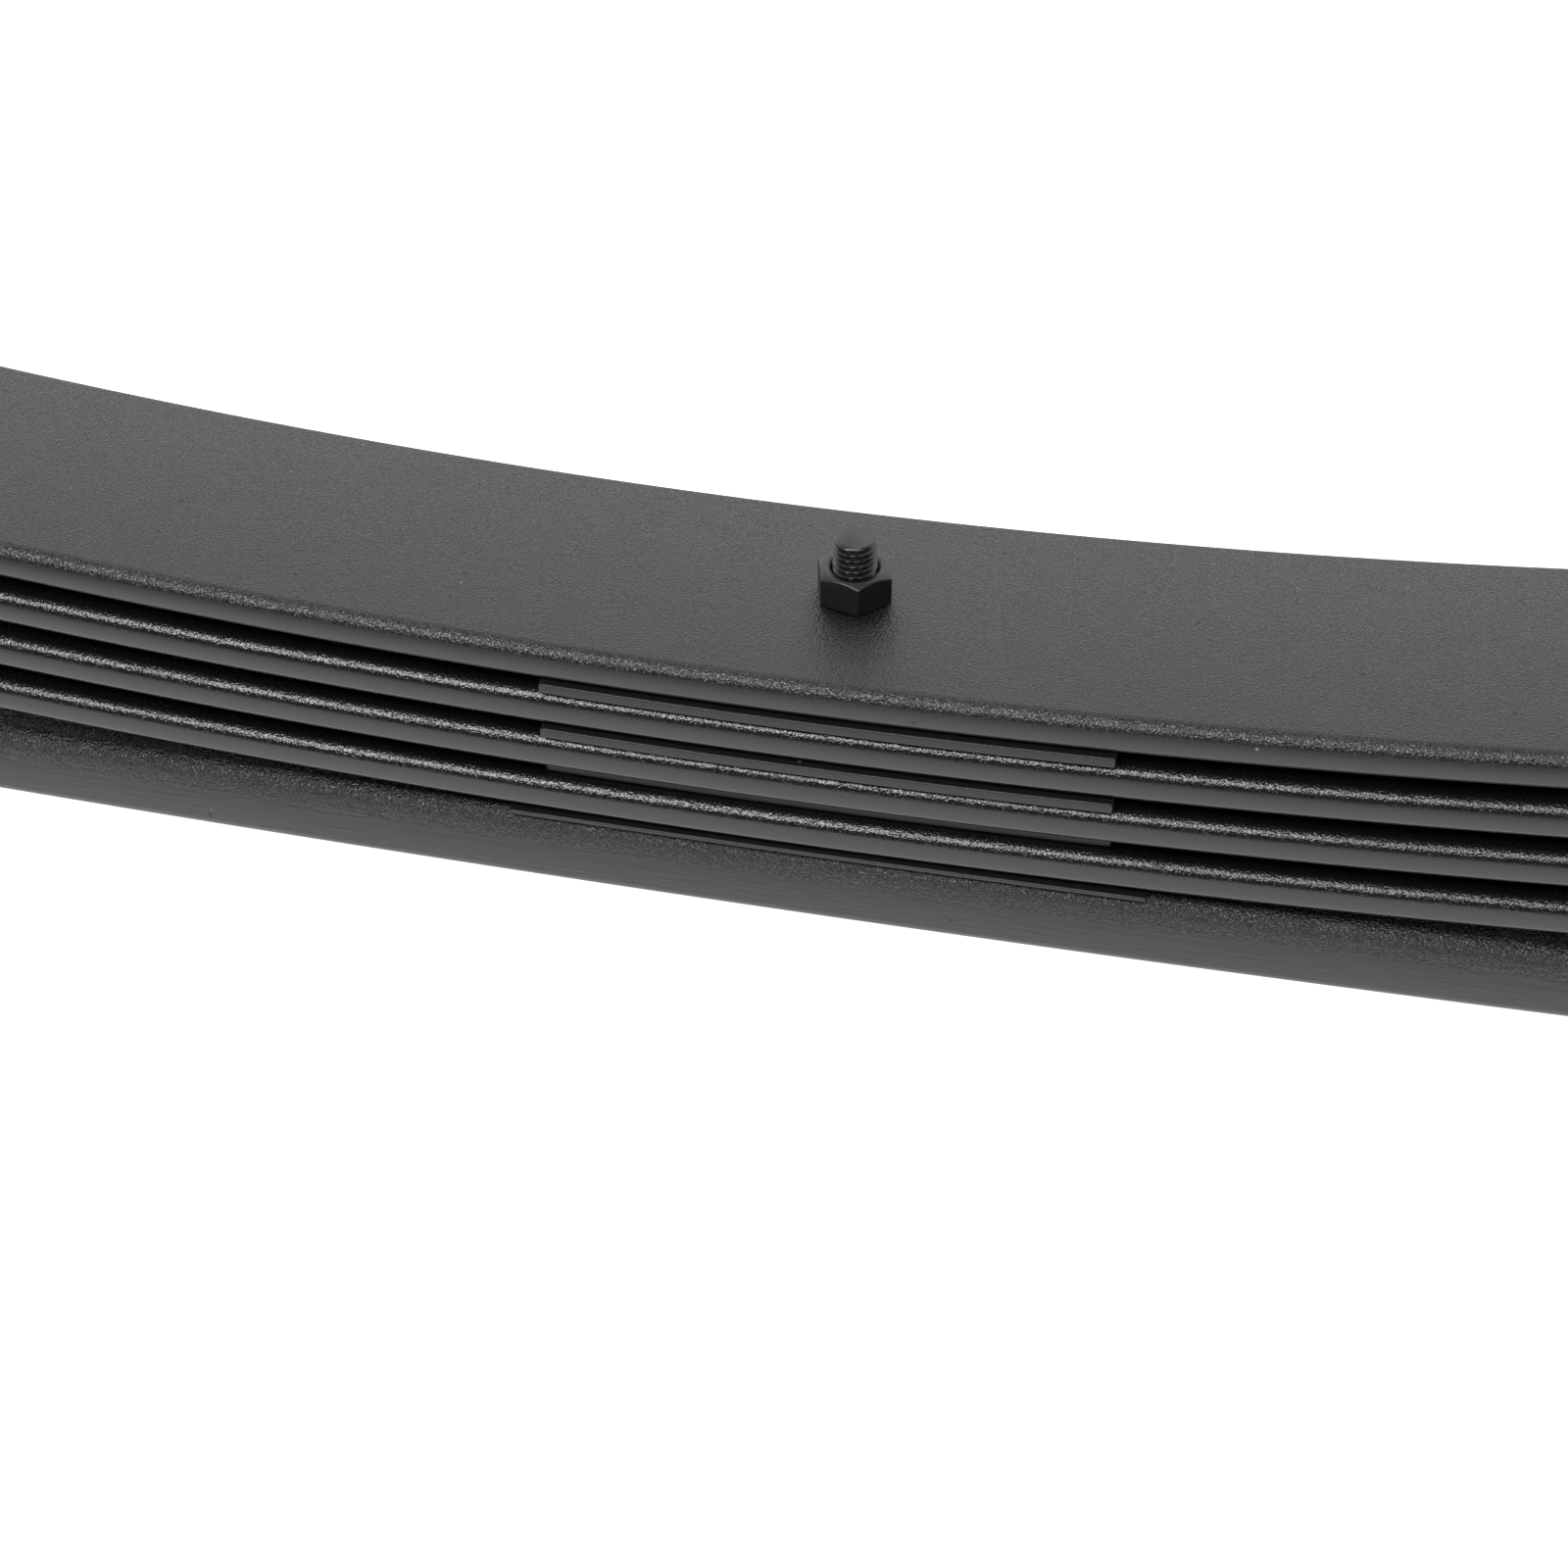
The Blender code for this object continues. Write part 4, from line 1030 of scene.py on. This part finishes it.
    nut = hex_body(
        "nut", CLIP_HEX, CLIP_NUT_HEIGHT, CLIP_FACE_RADIUS, CLIP_CORNER_DROP, 0.0,
        bore=CLIP_BOLT_RADIUS + THREAD_CLEARANCE, sink=CLIP_BOLT_RADIUS + CLIP_NUT_SINK,
    )
    nut = joined("clip_nut", [softened(nut, HEX_SOFTENING)], FASTENER_PAINT)
    nut.transform(across @ Matrix.Rotation(pi, 4, "X") @ Matrix.Translation((0, 0, arm_face)))
    piece = new_piece(f"{side}_clip_nut_hex", nut, f"{side}_clip_nut", 40)
    bend_with_limb(piece, side)


# ---- The tip pads ----
# Moulded nylon pads on the ends of the second, third and fourth leaf. The leaf above slides on
# them; a round peg under each one snaps down into its hole in the leaf.

PAD_WIDTH = LEAF_WIDTH - 0.0122
PAD_THICKNESS = LINER_SPACE - 2 * TOUCH
PAD_EDGE_RADIUS = 0.0007
PAD_STEP = 0.004
PEG_RADIUS = 0.0060
PEG_LENGTH = 0.85 * LEAF_THICKNESS
PEG_HOLLOW_DEPTH = 0.002
PEG_HOLLOW_RIM = 0.0032
PEG_HOLLOW_FLOOR = 0.0028
PAD_PLASTIC = moulded(
    "Pad plastic", (0.016, 0.016, 0.017, 1.0), (0.04, 0.04, 0.04, 1.0), grain=0.00002, gloss=0.42
)

for side in ("front", "rear"):
    for number, name in ((1, "second"), (2, "third"), (3, "fourth")):
        outer = LOWER_REACH[side][number - 1] - PAD_SETBACK
        inner = outer - PAD_LENGTH
        rounding = []
        for quarter in (90, 60, 30):
            left = PAD_EDGE_RADIUS * (1 - sin(radians(quarter)))
            inset = PAD_EDGE_RADIUS * (1 - cos(radians(quarter)))
            rounding.append((left, 1 - 2 * inset / PAD_WIDTH, 1 - 2 * inset / PAD_THICKNESS))
        body = evenly(inner + PAD_EDGE_RADIUS, outer - PAD_EDGE_RADIUS, PAD_STEP)
        stations = [(inner + left, breadth, depth) for left, breadth, depth in rounding]
        stations += [(distance, 1.0, 1.0) for distance in body]
        stations += [(outer - left, breadth, depth) for left, breadth, depth in reversed(rounding)]
        path = [
            (*leaf_point(number, side, distance, -TOUCH - PAD_THICKNESS / 2), breadth, depth)
            for distance, breadth, depth in stations
        ]
        pad = made_by(
            ROLLED_BAR, "pad", spine_mesh("pad", path), Width=PAD_WIDTH, Thickness=PAD_THICKNESS,
            Edge_radius=PAD_EDGE_RADIUS, Side_crown=0.0, Material=PAD_PLASTIC,
        )
        middle = (outer + inner) / 2
        peg_x, peg_z = leaf_point(number, side, middle, 0.0)
        peg_top, peg_end = 0.0005, -PEG_LENGTH
        peg = turned("peg", [
            (0.0, peg_top), (PEG_RADIUS, peg_top), (PEG_RADIUS, peg_end),
            (PEG_HOLLOW_RIM, peg_end), (PEG_HOLLOW_FLOOR, peg_end + PEG_HOLLOW_DEPTH),
            (0.0, peg_end + PEG_HOLLOW_DEPTH),
        ], 40)
        peg = softened(peg, 0.0005)
        peg.transform(
            Matrix.Translation((peg_x, 0, peg_z))
            @ Matrix.Rotation(-leaf_slope(number, side, middle), 4, "Y")
        )
        mesh = joined("pad", [pad, peg], PAD_PLASTIC)
        node = f"{side}_{name}_tip_pad"
        bend_with_limb(new_piece(node + "_moulding", mesh, node), side)


# ---- The studio ----
# A pale floor and surround that glow a little, as a lit sweep does, and two soft boxes above the
# near side. Both look evenly pale to the camera. The light that the spring gets from the floor
# is full only in a band under it, and from the surround only on the far side.

FLOOR_REACH = 9.0
FLOOR_BELOW_SPRING = 0.0005
BOX_ELEVATION = radians(50)
BOX_DISTANCE = 1.3
BOX_BREADTH = 0.36
CAMERA_PLACE = (0.0822, -0.4530, 0.3876)
CAMERA_PITCH = radians(90 - 38.39)
CAMERA_TURN = radians(12.31)
CAMERA_LENS = 54.75

floor_mesh = bpy.data.meshes.new("floor")
corners = [
    (x * FLOOR_REACH, y * FLOOR_REACH, 0.0) for x, y in ((-1, -1), (1, -1), (1, 1), (-1, 1))
]
floor_mesh.from_pydata(corners, [], [(0, 1, 2, 3)])
floor = in_scene("floor", floor_mesh)
floor.location.z = -FLOOR_BELOW_SPRING
floor_white, graph, where = new_material("Floor white")
shader = graph.tree.nodes["Principled BSDF"]
shader.inputs["Roughness"].default_value = 0.9
shader.inputs["Emission Strength"].default_value = 1.0
toward_back = where.split()[1]
seen = graph.node("ShaderNodeLightPath", output="Is Camera Ray")
lit = (toward_back.ramp(-0.38, -0.03) * toward_back.ramp(0.35, 0.05)).at_least(seen)
colour = graph.mix(lit, (0.06, 0.06, 0.06, 1.0), (0.54, 0.54, 0.54, 1.0))
glow = graph.mix(lit, (0.25, 0.25, 0.25, 1.0), (1.08, 1.08, 1.08, 1.0))
for label, value in (("Base Color", colour), ("Emission Color", glow)):
    graph.tree.links.new(value.socket, shader.inputs[label])
floor_mesh.materials.append(floor_white)

world = bpy.data.worlds.new("Surround")
bpy.context.scene.world = world
world.use_nodes = True
graph = Graph(world.node_tree)
away = graph.node("ShaderNodeTexCoord", output="Generated").split()[1]
seen = graph.node("ShaderNodeLightPath", output="Is Camera Ray")
level = (0.12 + 1.14 * away.ramp(-0.30, 0.50)).at_least(seen)
background = world.node_tree.nodes["Background"]
graph.tree.links.new(level.socket, background.inputs["Strength"])
background.inputs["Color"].default_value = (1.0, 1.0, 1.0, 1.0)


def soft_box(name, slide, length, radiance):
    """A long light square to the spring on its near side, slid along X from the bolt."""
    light = bpy.data.lights.new(name, "AREA")
    light.shape = "RECTANGLE"
    light.size, light.size_y = length, BOX_BREADTH
    light.energy = radiance * pi * length * BOX_BREADTH
    holder = in_scene(name, light)
    out = Vector((0, -cos(BOX_ELEVATION), sin(BOX_ELEVATION)))
    holder.location = Vector((slide, 0, MAIN_TOP_Z)) + out * BOX_DISTANCE
    holder.rotation_euler = (radians(90) - BOX_ELEVATION, 0, 0)
    holder.visible_camera = False


soft_box("key", slide=-0.445, length=0.80, radiance=12.5)
soft_box("fill", slide=0.455, length=1.00, radiance=5.2)

camera = bpy.data.cameras.new("camera")
camera.sensor_width = 36.0
camera.lens = CAMERA_LENS
camera.clip_start, camera.clip_end = 0.01, 50
viewer = in_scene("camera", camera)
viewer.location = CAMERA_PLACE
viewer.rotation_euler = (CAMERA_PITCH, 0, CAMERA_TURN)
bpy.context.scene.camera = viewer
bpy.context.scene.view_settings.view_transform = "Standard"
